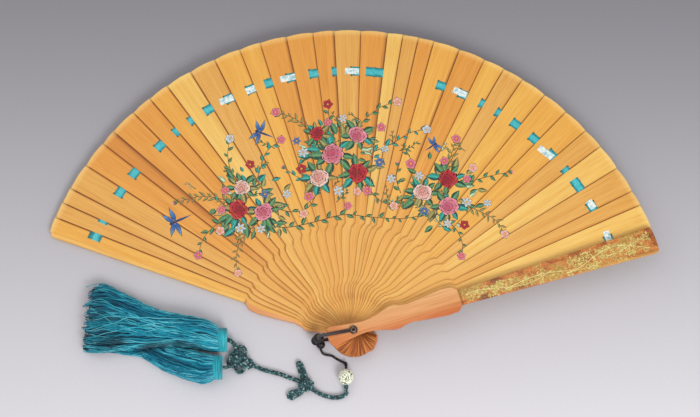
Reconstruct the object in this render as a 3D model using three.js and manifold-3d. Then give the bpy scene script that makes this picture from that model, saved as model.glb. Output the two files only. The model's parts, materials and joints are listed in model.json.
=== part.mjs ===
// A wooden folding fan of loose overlapping sticks, laced by a ribbon, with a bead and two silk tassels.
// Millimetres, +Z up. The rivet's axis is Z through the origin, and z = 0 is the table under the fan.
// The fan lies open as it is shown. Each stick has its own level, and the front guard is on top.

import * as THREE from "three";
import { mergeVertices } from "three/addons/utils/BufferGeometryUtils.js";
import Module from "manifold-3d";

const wasm = await Module();
wasm.setup();

// Driving dimensions of the sticks
const stickThickness = 0.38;
const stickGap = 0.12;
const bladeLength = 213;
const bladeTipWidth = 21;
const tipCrown = 1.1;

// How the fan is spread: the guards' directions, and the three steps between neighbouring sticks.
// W is as far as the ribbon lets two sticks part, M is drawn out less, and N least.
const frontAngle = 17.2;
const rearAngle = 159.7;
const lastStickStep = 4.0;
const spreadSteps = { W: 5.05, M: 4.0, N: 2.95 };
const spreadOrder = "NNNWWNWMMWWWMWWMWWNNNWWMMWWWMWWN";
const stickCount = spreadOrder.length + 1;

// Guards
const guardThickness = 3.2;
const guardFootThickness = 1.6;
const guardLength = 211.8;
const guardTipWidth = 18.2;
const guardTipCrown = 0.7;
const guardRampStart = 8;
const guardRampEnd = 22;
const guardGrooveDepth = 0.6;
const guardGrooveWidth = 1.6;

// Rivet, and the bail that turns on it
const pinRadius = 1.4;
const boreClearance = 0.08;
const headRadius = 1.9;
const headThickness = 0.6;
const eyeRadius = 2.7;
const eyeThickness = 0.8;
const eyeClearance = 0.1;
const bailReach = 22.6;
const bailArmWidth = 2.3;
const bailArmEndWidth = 1.9;
const bailBarRadius = 1.15;
const bailAngle = 190.6;

// Ribbon, and the slit in each stick that it goes through
const ribbonRadius = 182.5;
const ribbonWidth = 6.5;
const ribbonThickness = 0.08;
const ribbonRise = 0.35;
const slitWidth = 1.4;
const slitEndClearance = 0.4;
const slitOffset = 1.0;
const ribbonTail = 1.1;

// Cords, bead and tassels
const hangerDiameter = 1.7;
const cordDiameter = 3.2;
const cordSides = 8;
const meetGap = 0.3;
const beadDiameter = 10;
const beadLength = 10.6;
const beadBoreRadius = 1.3;
const capRadius = 8;
const capLength = 6.4;
const capBore = 1.9;
const skirtGap = 0.35;

// Worked from the driving dimensions
const stickPitch = stickThickness + stickGap;
const rearInnerFace = guardThickness;
const frontInnerFace = rearInnerFace + stickGap + stickPitch * stickCount;
const frontFootFace = frontInnerFace + guardFootThickness;
const boreRadius = pinRadius + boreClearance;
const rearEyeFace = headThickness + eyeClearance;
const frontEyeFace = frontFootFace + eyeClearance;
const frontHeadFace = frontEyeFace + eyeThickness + eyeClearance;
const cordRadius = cordDiameter / 2;
const hangerRadius = hangerDiameter / 2;

// Outlines: x is the distance from the rivet along the piece, and half is the half-width there.
const stickOutline = {
  foot: 16,
  footHalfAngle: 21,
  pivotHalf: 4.0,
  neck: { at: 9, half: 3.5 },
  swell: { at: 20, half: 5.2 },
  lowerBulge: { at: 29, half: 7.6 },
  waist: { at: 36, half: 5.5 },
  upperBulge: { at: 62, half: 6.7 },
  shoulder: { at: 70, half: 6.2 },
  notch: { at: 74, half: 3.8 },
  tipHalf: bladeTipWidth / 2,
  length: bladeLength,
  crown: tipCrown,
};
const guardOutline = {
  foot: 17.3,
  footHalfAngle: 23,
  pivotHalf: 4.5,
  neck: { at: 9, half: 3.8 },
  swell: { at: 19, half: 5.6 },
  lowerBulge: { at: 29, half: 8.0 },
  waist: { at: 35.5, half: 6.1 },
  upperBulge: { at: 62, half: 8.8 },
  shoulder: { at: 70, half: 8.2 },
  notch: { at: 73.5, half: 5.0 },
  tipHalf: guardTipWidth / 2,
  length: guardLength,
  crown: guardTipCrown,
};

const wood = (colour) => new THREE.MeshStandardMaterial({ color: colour, roughness: 0.55, metalness: 0 });
const materials = {
  palestStick: wood(0xe9c27c),
  stick: wood(0xe3b066),
  darkStick: wood(0xd99a4d),
  guard: wood(0xb9673a),
  metal: new THREE.MeshStandardMaterial({ color: 0x2c2320, roughness: 0.35, metalness: 0.8 }),
  rivet: new THREE.MeshStandardMaterial({ color: 0x6b4a35, roughness: 0.4, metalness: 0.9 }),
  ribbon: new THREE.MeshStandardMaterial({ color: 0x27a9b5, roughness: 0.5, metalness: 0 }),
  blackSilk: new THREE.MeshStandardMaterial({ color: 0x1b1c20, roughness: 0.8, metalness: 0 }),
  bead: new THREE.MeshStandardMaterial({ color: 0xe9e6d2, roughness: 0.3, metalness: 0 }),
  tealCord: new THREE.MeshStandardMaterial({ color: 0x1d5a63, roughness: 0.8, metalness: 0 }),
  tealSilk: new THREE.MeshStandardMaterial({ color: 0x1e8797, roughness: 0.7, metalness: 0 }),
};

const fan = new THREE.Group();

function add(name, geometry, material, parent = fan) {
  const piece = new THREE.Mesh(geometry, material);
  piece.name = name;
  parent.add(piece);
  return piece;
}

// Solids for joining and cutting
function solidOf(geometry) {
  const bare = geometry.clone();
  bare.deleteAttribute("normal");
  bare.deleteAttribute("uv");
  const merged = mergeVertices(bare, 1e-4);
  const shell = new wasm.Mesh({
    numProp: 3,
    vertProperties: merged.attributes.position.array,
    triVerts: new Uint32Array(merged.index.array),
  });
  return new wasm.Manifold(shell);
}

function geometryOf(solid) {
  const shell = solid.getMesh();
  const geometry = new THREE.BufferGeometry();
  geometry.setAttribute("position", new THREE.BufferAttribute(new Float32Array(shell.vertProperties), 3));
  geometry.setIndex(new THREE.BufferAttribute(new Uint32Array(shell.triVerts), 1));
  geometry.computeVertexNormals();
  return geometry;
}

function joined(solids) {
  return solids.reduce((whole, solid) => whole.add(solid));
}

// A closed body over rings of points that all have the same count, turning the same way round
function loft(rings) {
  const count = rings[0].length;
  const positions = [];
  const triangles = [];
  for (const ring of rings) {
    for (const point of ring) {
      positions.push(point.x, point.y, point.z);
    }
  }
  for (let i = 0; i + 1 < rings.length; i++) {
    for (let k = 0; k < count; k++) {
      const next = (k + 1) % count;
      const a = i * count + k;
      const b = i * count + next;
      triangles.push(a, b, b + count, a, b + count, a + count);
    }
  }
  const last = (rings.length - 1) * count;
  for (let k = 1; k + 1 < count; k++) {
    triangles.push(0, k + 1, k);
    triangles.push(last, last + k, last + k + 1);
  }
  const geometry = new THREE.BufferGeometry();
  geometry.setAttribute("position", new THREE.BufferAttribute(new Float32Array(positions), 3));
  geometry.setIndex(triangles);
  geometry.computeVertexNormals();
  return geometry;
}

// The long side of a stick or guard, from the foot's corner to the blade's tip corner
function sidePoints(outline) {
  const corner = THREE.MathUtils.degToRad(outline.footHalfAngle);
  const gorgeSteps = 15;
  const gorge = new THREE.CatmullRomCurve3(
    [
      new THREE.Vector3(-outline.foot * Math.cos(corner), outline.foot * Math.sin(corner), 0),
      new THREE.Vector3(0, outline.pivotHalf, 0),
      new THREE.Vector3(outline.neck.at, outline.neck.half, 0),
      new THREE.Vector3(outline.swell.at, outline.swell.half, 0),
      new THREE.Vector3(outline.lowerBulge.at, outline.lowerBulge.half, 0),
      new THREE.Vector3(outline.waist.at, outline.waist.half, 0),
      new THREE.Vector3(outline.upperBulge.at, outline.upperBulge.half, 0),
      new THREE.Vector3(outline.shoulder.at, outline.shoulder.half, 0),
    ],
    false,
    "centripetal",
  );
  const points = gorge.getPoints(gorgeSteps).map((p) => new THREE.Vector2(p.x, p.y));
  points.push(new THREE.Vector2(outline.notch.at, outline.notch.half));
  points.push(new THREE.Vector2(outline.length - outline.crown, outline.tipHalf));
  return points;
}

// A hole about the rivet's axis, with its flats at the radius so that a round pin turns in it
function roundHole(radius, sides = 12) {
  const corner = radius / Math.cos(Math.PI / sides);
  const points = [];
  for (let i = 0; i < sides; i++) {
    const turn = (-2 * Math.PI * i) / sides;
    points.push(new THREE.Vector2(corner * Math.cos(turn), corner * Math.sin(turn)));
  }
  return new THREE.Path(points);
}

// The whole outline: one side, the crowned tip, the other side and the round foot
function outlineShape(outline) {
  const side = sidePoints(outline);
  const points = [...side];
  const tipSteps = 4;
  for (let i = 1; i < tipSteps; i++) {
    const t = 1 - (2 * i) / tipSteps;
    points.push(new THREE.Vector2(outline.length - outline.crown * t * t, outline.tipHalf * t));
  }
  points.push(...side.map((p) => new THREE.Vector2(p.x, -p.y)).reverse());
  const footSteps = 6;
  for (let i = 1; i < footSteps; i++) {
    const turn = outline.footHalfAngle * (1 - (2 * i) / footSteps);
    const angle = THREE.MathUtils.degToRad(180 + turn);
    points.push(new THREE.Vector2(outline.foot * Math.cos(angle), outline.foot * Math.sin(angle)));
  }
  const shape = new THREE.Shape(points.reverse());
  shape.holes.push(roundHole(boreRadius));
  return shape;
}

function extrude(shape, depth, steps = 4) {
  return new THREE.ExtrudeGeometry(shape, { depth, bevelEnabled: false, curveSegments: steps });
}

// Where each stick points, counted from the rear guard's side
function stickAngles() {
  const spread = [...spreadOrder].map((letter) => spreadSteps[letter]);
  const total = spread.reduce((sum, step) => sum + step, 0);
  let angle = frontAngle + lastStickStep + total;
  const angles = [angle];
  for (const step of spread) {
    angle -= step;
    angles.push(angle);
  }
  return angles;
}
const angles = stickAngles();

function stickBottom(index) {
  return rearInnerFace + stickGap + stickPitch * index;
}

// Turns a piece about the rivet's axis so that its length points at the angle
function aim(piece, degrees) {
  piece.rotation.z = THREE.MathUtils.degToRad(degrees);
  return piece;
}

// Sticks: thin blades, each with a bore for the rivet and a slit for the ribbon
function stickShape() {
  const shape = outlineShape(stickOutline);
  const halfLength = ribbonWidth / 2 + slitEndClearance;
  const near = ribbonRadius - halfLength;
  const far = ribbonRadius + halfLength;
  const low = -slitOffset - slitWidth / 2;
  const high = -slitOffset + slitWidth / 2;
  const slit = [
    new THREE.Vector2(near, low),
    new THREE.Vector2(near, high),
    new THREE.Vector2(far, high),
    new THREE.Vector2(far, low),
  ];
  shape.holes.push(new THREE.Path(slit));
  return shape;
}

function addSticks() {
  const shape = stickShape();
  const tints = [materials.stick, materials.darkStick, materials.palestStick];
  angles.forEach((angle, index) => {
    const name = `stick_${String(index + 1).padStart(2, "0")}`;
    const blade = add(name, extrude(shape, stickThickness, 3), tints[index % tints.length]);
    blade.position.z = stickBottom(index);
    aim(blade, angle);
  });
}

// Guards: thick at the handle and blade, thin round the rivet, with a groove where the blade starts.
// Drawn lying on the inner face, with the outer face up.
function guardGeometry() {
  const plan = solidOf(extrude(outlineShape(guardOutline), guardThickness + 1, 4));
  const reach = guardOutline.foot + 1;
  const groove = guardOutline.notch.at;
  const profile = new THREE.Shape([
    new THREE.Vector2(-reach, 0),
    new THREE.Vector2(guardLength + 1, 0),
    new THREE.Vector2(guardLength + 1, guardThickness),
    new THREE.Vector2(groove + guardGrooveWidth, guardThickness),
    new THREE.Vector2(groove + guardGrooveWidth / 2, guardThickness - guardGrooveDepth),
    new THREE.Vector2(groove, guardThickness),
    new THREE.Vector2(guardRampEnd, guardThickness),
    new THREE.Vector2((guardRampStart + guardRampEnd) / 2, (guardThickness + guardFootThickness) / 2),
    new THREE.Vector2(guardRampStart, guardFootThickness),
    new THREE.Vector2(-reach, guardFootThickness),
  ]);
  const width = 4 * guardOutline.tipHalf;
  const side = extrude(profile, width);
  side.rotateX(Math.PI / 2);
  side.translate(0, width / 2, 0);
  return geometryOf(plan.intersect(solidOf(side)));
}

function addGuards() {
  const geometry = guardGeometry();
  const front = add("front_guard", geometry, materials.guard);
  front.position.z = frontInnerFace;
  aim(front, frontAngle);
  const turned = geometry.clone().rotateX(Math.PI);
  const rear = add("rear_guard", turned, materials.guard);
  rear.position.z = rearInnerFace;
  aim(rear, rearAngle);
}

// Rivet: one pin with a flat head under the fan and a domed one on top
function addRivet() {
  const domeRise = 0.35;
  const top = frontHeadFace + headThickness;
  const profile = [
    new THREE.Vector2(0, 0),
    new THREE.Vector2(headRadius, 0),
    new THREE.Vector2(headRadius, headThickness),
    new THREE.Vector2(pinRadius, headThickness),
    new THREE.Vector2(pinRadius, frontHeadFace),
    new THREE.Vector2(headRadius, frontHeadFace),
    new THREE.Vector2(headRadius * 0.92, top - domeRise),
    new THREE.Vector2(headRadius * 0.55, top),
    new THREE.Vector2(0, top),
  ];
  const geometry = new THREE.LatheGeometry(profile, 16);
  geometry.rotateX(Math.PI / 2);
  add("rivet", geometry, materials.rivet);
}

// Bail: an eye and an arm above the fan, the same below it, and a bar that joins them past the feet
function bailPlate() {
  const shape = new THREE.Shape();
  const root = Math.sqrt(eyeRadius ** 2 - (bailArmWidth / 2) ** 2);
  const opening = Math.asin(bailArmWidth / 2 / eyeRadius);
  shape.moveTo(root, bailArmWidth / 2);
  shape.absarc(0, 0, eyeRadius, opening, 2 * Math.PI - opening, false);
  shape.lineTo(bailReach, -bailArmEndWidth / 2);
  shape.absarc(bailReach, 0, bailBarRadius, -Math.PI / 2, Math.PI / 2, false);
  shape.closePath();
  shape.holes.push(roundHole(boreRadius));
  return solidOf(extrude(shape, eyeThickness, 6));
}

function addBail() {
  const front = bailPlate().translate([0, 0, frontEyeFace]);
  const rear = bailPlate().translate([0, 0, rearEyeFace]);
  const height = frontEyeFace + eyeThickness - rearEyeFace;
  const bar = new THREE.CylinderGeometry(bailBarRadius, bailBarRadius, height, 12);
  bar.rotateX(Math.PI / 2);
  bar.translate(bailReach, 0, rearEyeFace + height / 2);
  aim(add("bail", geometryOf(joined([front, rear, solidOf(bar)])), materials.metal), bailAngle);
}

// Ribbon: over one stick, under the next and up through its slit, from guard to guard.
// Each corner of its run is a direction and a height, and the band is square to both.
function ribbonCorners() {
  const degreesPerMm = THREE.MathUtils.radToDeg(1 / ribbonRadius);
  const lift = (stickGap - ribbonThickness) / 2;
  const slits = angles.map((angle) => angle - slitOffset * degreesPerMm);
  const rise = ribbonRise * degreesPerMm;
  const corners = [{ angle: rearAngle + ribbonTail, z: rearInnerFace + lift }];
  slits.forEach((slit, index) => {
    corners.push({ angle: slit + rise, z: stickBottom(index) - stickGap + lift });
    corners.push({ angle: slit - rise, z: stickBottom(index) + stickThickness + lift });
  });
  corners.push({ angle: frontAngle - ribbonTail, z: frontInnerFace - stickGap + lift });
  return corners;
}

function addRibbon() {
  const inner = ribbonRadius - ribbonWidth / 2;
  const outer = ribbonRadius + ribbonWidth / 2;
  const rings = ribbonCorners().map(({ angle, z }) => {
    const turn = THREE.MathUtils.degToRad(angle);
    const at = (radius, height) => new THREE.Vector3(radius * Math.cos(turn), radius * Math.sin(turn), height);
    const top = z + ribbonThickness;
    return [at(inner, z), at(outer, z), at(outer, top), at(inner, top)];
  });
  add("ribbon", loft(rings), materials.ribbon);
}

// Cords: a tube along a smooth line through the points
function cordCurve(points) {
  return new THREE.CatmullRomCurve3(points.map((p) => new THREE.Vector3(...p)), false, "centripetal");
}

function tube(points, radius, step = 2.5) {
  const curve = cordCurve(points);
  const section = new THREE.Shape().absarc(0, 0, radius, 0, 2 * Math.PI, false);
  const steps = Math.max(3, Math.ceil(curve.getLength() / (step * 2 * radius)));
  const options = { steps, extrudePath: curve, curveSegments: cordSides / 2, bevelEnabled: false };
  return new THREE.ExtrudeGeometry(section, options);
}

// A rounded lump of silk, with its centre, its half-sizes and its turn about Z
function lump([x, y, z], [a, b, c], turn = 0) {
  const ball = new THREE.SphereGeometry(1, 10, 8);
  ball.rotateX(Math.PI / 2);
  ball.scale(a, b, c);
  ball.rotateZ(THREE.MathUtils.degToRad(turn));
  ball.translate(x, y, z);
  return solidOf(ball);
}

// Black silk tied round the bail's bar, with two more lumps of turns beside and under it
function addBailKnot() {
  const turn = THREE.MathUtils.degToRad(bailAngle);
  const bar = [bailReach * Math.cos(turn), bailReach * Math.sin(turn)];
  const hole = new THREE.CylinderGeometry(bailBarRadius + meetGap, bailBarRadius + meetGap, 40, 12);
  hole.rotateX(Math.PI / 2);
  hole.translate(bar[0], bar[1], 0);
  const knot = joined([
    lump([bar[0], bar[1], 12], [3.6, 3.3, 4.2]),
    lump([bar[0] - 1.4, bar[1] - 0.8, 7.4], [3.4, 3.2, 3.2]),
    lump([bar[0] + 1.6, bar[1] - 3.4, 7], [3.0, 2.8, 3.4]),
  ]);
  add("bail_knot", geometryOf(knot.subtract(solidOf(hole))), materials.blackSilk);
}

// The black cord goes from the knot round the feet on the table, and up into the bead.
// Routes are chosen by hand and follow the cord as it lies.
const hangerRoute = [
  [-20.3, -11.25, 6.5],
  [-19.0, -12.8, 3.0],
  [-16.2, -13.4, 1.1],
  [-13.0, -14.0, 0.9],
  [-9.8, -16.0, 0.9],
  [-6.9, -17.5, 0.9],
  [-4.9, -18.5, 1.5],
  [-4.0, -19.6, 3.2],
  [-3.9, -21.2, 4.6],
  [-3.9, -22.6, 5.0],
  [-3.9, -24.4, 5.0],
];
const beadPlace = [-3.9, -28.3, beadDiameter / 2];
const upperRoute = [
  [-3.9, -34.1, 5.0],
  [-3.9, -35.4, 4.8],
  [-3.6, -37.6, 2.8],
  [-4.2, -39.4, 1.7],
  [-7.4, -41.0, 1.65],
  [-11.6, -41.4, 1.65],
  [-16.4, -40.6, 1.65],
  [-20.8, -39.0, 1.65],
  [-25.7, -36.2, 2.4],
];
const middleRoute = [
  [-34.7, -30.7, 2.2],
  [-40.5, -28.7, 1.65],
  [-47.0, -26.3, 1.65],
  [-53.6, -24.6, 1.65],
  [-59.4, -23.0, 1.65],
  [-66.8, -19.3, 2.4],
];
const upperStrandRoute = [
  [-75.0, -10.2, 3.4],
  [-76.6, -8.4, 4.9],
  [-78.6, -6.2, 7.0],
  [-80.6, -5.1, 8.0],
  [-83.4, -5.0, 8.0],
];
const lowerStrandRoute = [
  [-77.3, -20.2, 2.9],
  [-79.6, -21.6, 5.0],
  [-81.6, -22.7, 7.2],
  [-83.8, -23.1, 8.0],
  [-86.0, -23.1, 8.0],
];

function addCords() {
  add("hanger_cord", tube(hangerRoute, hangerRadius), materials.blackSilk);
  add("cord_to_loop_knot", tube(upperRoute, cordRadius), materials.tealCord);
  add("cord_between_knots", tube(middleRoute, cordRadius), materials.tealCord);
  const strandRadius = cordRadius * 0.85;
  add("cord_to_upper_tassel", tube(upperStrandRoute, strandRadius, 1.2), materials.tealCord);
  add("cord_to_lower_tassel", tube(lowerStrandRoute, strandRadius, 1.2), materials.tealCord);
}

// Bead: a carved ball with a bore along the cord
function addBead() {
  const half = beadLength / 2;
  const rings = 10;
  const profile = [];
  for (let i = 0; i <= rings; i++) {
    const y = -half + (beadLength * i) / rings;
    const swell = Math.sqrt(Math.max(0, 1 - (y / half) ** 2 * 0.9));
    profile.push(new THREE.Vector2((beadDiameter / 2) * swell, y));
  }
  const outside = profile.map((p) => p.clone());
  const closed = [
    ...outside,
    new THREE.Vector2(beadBoreRadius, half),
    new THREE.Vector2(beadBoreRadius, -half),
    outside[0].clone(),
  ];
  const bead = add("bead", new THREE.LatheGeometry(closed, 16), materials.bead);
  bead.position.set(...beadPlace);
}

// Decorative knots: a body of turns with its loops drawn out of it
function loopSolid(points) {
  return solidOf(tube(points, cordRadius, 1.5));
}

function addLoopKnot() {
  const body = lump([-30, -33, 3.4], [5.2, 4.4, 3.4], -35);
  const upperLoop = loopSolid([[-31.4, -30.4, 3.0], [-33.0, -25.4, 1.9], [-35.0, -19.4, 1.65]]);
  const lowerLoop = loopSolid([[-31.0, -35.6, 3.0], [-34.4, -38.4, 1.9], [-38.0, -41.2, 1.65]]);
  add("loop_knot", geometryOf(joined([body, upperLoop, lowerLoop])), materials.tealCord);
}

function addFlowerKnot() {
  const knot = joined([
    lump([-70.8, -17.2, 3.6], [4.4, 3.8, 3.5]),
    lump([-72.2, -12.6, 3.0], [3.0, 3.0, 2.9]),
    lump([-71.0, -21.4, 3.0], [3.2, 2.7, 2.9]),
    lump([-75.0, -17.0, 3.0], [2.6, 3.2, 2.9]),
  ]);
  add("flower_knot", geometryOf(knot), materials.tealCord);
}

// Tassels: a bound collar, and a skirt of silk that spreads and lies on the table
const upperCapPlace = [-81.6, -5.0, capRadius];
const lowerCapPlace = [-84.2, -23.1, capRadius];

function addCap(name, [x, y, z]) {
  const round = 0.9;
  const profile = [
    new THREE.Vector2(capBore, 0),
    new THREE.Vector2(capRadius - round, 0),
    new THREE.Vector2(capRadius, round),
    new THREE.Vector2(capRadius, capLength - round),
    new THREE.Vector2(capRadius - round, capLength),
    new THREE.Vector2(0, capLength),
    new THREE.Vector2(0, capLength - 1.2),
    new THREE.Vector2(capBore, capLength - 1.2),
    new THREE.Vector2(capBore, 0),
  ];
  const geometry = new THREE.LatheGeometry(profile, 20);
  geometry.rotateZ(Math.PI / 2);
  const cap = add(name, geometry, materials.tealSilk);
  cap.position.set(x, y, z);
}

// One cut across a skirt: its side edges, its height and how square its section is
function skirtSection({ x, south, north, top, grow = 0 }) {
  const count = 14;
  const middle = (south + north) / 2;
  const half = (north - south) / 2 + grow;
  const tall = top / 2 + grow;
  const ring = [];
  for (let i = 0; i < count; i++) {
    const turn = (2 * Math.PI * (i + 0.5)) / count;
    const fullness = 0.75;
    const across = Math.sign(Math.cos(turn)) * Math.abs(Math.cos(turn)) ** fullness;
    const up = Math.sign(Math.sin(turn)) * Math.abs(Math.sin(turn)) ** fullness;
    ring.push(new THREE.Vector3(x, middle - half * across, top / 2 + tall * up));
  }
  return ring;
}

function skirtLoft(cuts, grow = 0) {
  const grown = cuts.map((cut, i) => {
    const endShift = i === 0 ? grow : i === cuts.length - 1 ? -grow : 0;
    return { ...cut, x: cut.x + endShift, grow };
  });
  return loft(grown.map(skirtSection));
}

const upperSkirtCuts = [
  { x: upperCapPlace[0] - capLength - meetGap, south: -12.4, north: 2.4, top: 15.4 },
  { x: -93, south: -13.3, north: 6.0, top: 15 },
  { x: -112, south: -12.8, north: 12.3, top: 13.4 },
  { x: -134, south: -11.4, north: 17.6, top: 12.4 },
  { x: -147, south: -11.6, north: 24.4, top: 12 },
  { x: -163, south: -13.6, north: 31.8, top: 11 },
  { x: -172, south: -13.0, north: 31.0, top: 9 },
  { x: -175.5, south: -8.0, north: 24.0, top: 6 },
];
const lowerSkirtCuts = [
  { x: lowerCapPlace[0] - capLength - meetGap, south: -30.6, north: -15.6, top: 15.4 },
  { x: -97, south: -32.0, north: -14.4, top: 14.4 },
  { x: -106, south: -30.0, north: -14.0, top: 12 },
  { x: -122, south: -24.6, north: -9.0, top: 6.5 },
  { x: -138, south: -15.0, north: 0, top: 4.4 },
  { x: -156, south: -13.0, north: 8, top: 4 },
  { x: -169, south: -11.0, north: 10, top: 3.4 },
];

function addTassels() {
  addCap("upper_tassel_cap", upperCapPlace);
  addCap("lower_tassel_cap", lowerCapPlace);
  add("lower_tassel_skirt", skirtLoft(lowerSkirtCuts), materials.tealSilk);
  const whole = solidOf(skirtLoft(upperSkirtCuts));
  const room = solidOf(skirtLoft(lowerSkirtCuts, skirtGap));
  add("upper_tassel_skirt", geometryOf(whole.subtract(room)), materials.tealSilk);
}

addSticks();
addGuards();
addRivet();
addBail();
addRibbon();
addBailKnot();
addCords();
addBead();
addLoopKnot();
addFlowerKnot();
addTassels();

export default fan;
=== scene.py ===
import json
import random
from math import asin, atan2, copysign, cos, degrees, hypot, pi, radians, sin

import bmesh
import bpy
from mathutils import Matrix, Vector, noise


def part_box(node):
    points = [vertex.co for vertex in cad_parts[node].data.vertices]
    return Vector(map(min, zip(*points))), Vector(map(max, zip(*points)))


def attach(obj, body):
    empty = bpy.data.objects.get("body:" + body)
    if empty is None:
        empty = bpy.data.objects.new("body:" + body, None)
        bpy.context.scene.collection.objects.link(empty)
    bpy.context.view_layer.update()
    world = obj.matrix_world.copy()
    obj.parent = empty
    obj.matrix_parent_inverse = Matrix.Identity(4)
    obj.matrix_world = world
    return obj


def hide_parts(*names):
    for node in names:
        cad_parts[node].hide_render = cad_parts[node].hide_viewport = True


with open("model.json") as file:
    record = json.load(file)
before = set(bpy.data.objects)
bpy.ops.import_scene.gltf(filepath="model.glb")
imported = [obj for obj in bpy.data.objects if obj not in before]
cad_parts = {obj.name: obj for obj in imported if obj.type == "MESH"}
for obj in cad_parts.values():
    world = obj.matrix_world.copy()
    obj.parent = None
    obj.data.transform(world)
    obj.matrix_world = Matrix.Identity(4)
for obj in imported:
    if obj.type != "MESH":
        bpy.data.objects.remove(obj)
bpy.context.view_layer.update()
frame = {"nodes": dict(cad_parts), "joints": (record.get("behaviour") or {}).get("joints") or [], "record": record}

# Lengths below are millimetres, as on the part's drawing, and meshes are made in metres.
MM = 0.001
STICK_THICKNESS = 0.38
STICK_PITCH = 0.5
LOWEST_STICK_TOP = 3.7
FRONT_GUARD_TOP = 23.02
BLADE_START = (74.0, 3.8)
BLADE_TIP = (211.9, 10.5)
GUARD_BLADE_START = (74.3, 5.0)
GUARD_TIP = (211.1, 9.1)
GUARD_SLOPE = (GUARD_TIP[1] - GUARD_BLADE_START[1]) / (GUARD_TIP[0] - GUARD_BLADE_START[0])
RIBBON_AT = 182.5
RIBBON_WIDTH = 6.5
RIBBON_THICKNESS = 0.03
SLIT_LEFT = -0.3
SLIT_RIGHT = -1.7
CORD_THICKNESS = 3.2
STRAND_THICKNESS = 2.7
HANGER_THICKNESS = 1.7
BRAID_STRAND = 0.29
BAIL_BAR = (-22.21, -4.16)
BEAD_CENTRE = (-3.9, -28.3, 5.0)
CAP_RADIUS = 8.0
CAP_LENGTH = 6.4
UPPER_CAP = (-81.6, -5.0, CAP_RADIUS)
LOWER_CAP = (-84.2, -23.1, CAP_RADIUS)

# Half-widths of a stick from its rivet to the notch under the blade
STICK_WAIST = (
    (-16, 5.6), (-8, 4.6), (0, 4.0), (9, 3.5), (20, 5.2), (29, 7.6), (36, 5.5),
    (50, 6.15), (62, 6.7), (70, 6.2), (73.4, 5.0), (74.2, 3.85),
)

joints = {joint["name"]: joint for joint in frame["joints"]}
rest_face = next(m for m in frame["record"]["mounts"] if m["name"] == "rest_face")
REAR_ANGLE = degrees(atan2(rest_face["pos_m"][1], rest_face["pos_m"][0]))
FRONT_ANGLE = REAR_ANGLE - joints["fan_fold"]["range_deg"][1]
STICK_COUNT = sum(name.startswith("stick_") for name in frame["nodes"])
STICK_ANGLES = [
    REAR_ANGLE - joints[f"stick_{i:02d}_turn"]["range_deg"][1] for i in range(1, STICK_COUNT + 1)
]


def stick_top(number):
    return LOWEST_STICK_TOP + STICK_PITCH * (number - 1)


def turned(angle, u, v, z):
    """A place u along and v to the left of a piece that lies at an angle, in metres."""
    c, s = cos(radians(angle)), sin(radians(angle))
    return Vector((u * c - v * s, u * s + v * c, z)) * MM


def toward(heading):
    """The direction of a heading in radians, on a plane."""
    return Vector((cos(heading), sin(heading)))


def around(side, other, angle):
    """The direction at an angle between two cross directions."""
    return side * cos(angle) + other * sin(angle)


def round_angles(count, closed=False):
    """Even angles round a full turn, with the first one again where the ring closes."""
    return [2 * pi * k / count for k in range(count + closed)]


# Camera and light

# Azimuth, elevation and roll of the camera in degrees, as they fit the photo
CAMERA_ANGLES = (-11.5, 74.4905, 11.8309)
CAMERA_TARGET = (-0.869, 87.213, 0)
CAMERA_DISTANCE = 885.266
CAMERA_LENS = 66.857
SENSOR_WIDTH = 36
FLOOR_LEVEL = -0.1


def set_up_camera():
    azimuth, elevation, roll = (radians(a) for a in CAMERA_ANGLES)
    back = Vector((
        sin(azimuth) * cos(elevation),
        -cos(azimuth) * cos(elevation),
        sin(elevation),
    ))
    right = Vector((cos(azimuth), sin(azimuth), 0))
    up = back.cross(right)
    turn = Matrix((around(right, up, roll), around(up, -right, roll), back)).transposed().to_4x4()
    data = bpy.data.cameras.new("photo_camera")
    data.lens = CAMERA_LENS
    data.sensor_width = SENSOR_WIDTH
    data.clip_start = 0.01
    camera = bpy.data.objects.new("photo_camera", data)
    place = Vector(CAMERA_TARGET) * MM + back * (CAMERA_DISTANCE * MM)
    camera.matrix_world = Matrix.Translation(place) @ turn
    bpy.context.scene.collection.objects.link(camera)
    bpy.context.scene.camera = camera


def soft_light(name, place, target, size, power):
    """A round lamp that faces its target; the places and the size are metres."""
    data = bpy.data.lights.new(name, "AREA")
    data.shape = "DISK"
    data.size = size
    data.energy = power
    light = bpy.data.objects.new(name, data)
    place, target = Vector(place), Vector(target)
    turn = (place - target).to_track_quat("Z", "Y").to_matrix().to_4x4()
    light.matrix_world = Matrix.Translation(place) @ turn
    bpy.context.scene.collection.objects.link(light)


def set_up_studio():
    bpy.context.scene.view_settings.view_transform = "Standard"
    world = bpy.data.worlds.new("studio")
    world.use_nodes = True
    background = world.node_tree.nodes["Background"]
    background.inputs["Color"].default_value = (1, 1, 1, 1)
    background.inputs["Strength"].default_value = 0.62
    bpy.context.scene.world = world
    soft_light("key", (0.35, -0.75, 0.85), (0, 0.05, 0), 0.6, 8)
    soft_light("fill", (-0.6, 0.3, 1.1), (0, 0.1, 0), 1.2, 3)
    bm = bmesh.new()
    bmesh.ops.create_grid(bm, x_segments=1, y_segments=1, size=6)
    lift(bm, FLOOR_LEVEL)
    paper = Finish("pale_paper", Roughness=0.9)
    place = paper.place()
    # Painted shade: the floor grows darker away from the camera, as if the light fell off
    _, away, _ = paper.axes(paper.along(place, 0.3))
    painted_falloff = paper.node("MapRange", {"Value": away, "From Min": -210 * MM, "From Max": 330 * MM},
                          interpolation_type="SMOOTHSTEP").outputs[0]
    tone = paper.ramp(painted_falloff, (0.0, (228, 225, 231)), (1.0, (128, 126, 132)))
    mottle = paper.ramp(paper.noise(place, 900, 3), (0.3, (250, 250, 250)), (0.7, (255, 255, 255)))
    paper.colour(paper.tinted(tone, mottle))
    shape("studio_floor", bm, paper)


# Finishes


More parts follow.
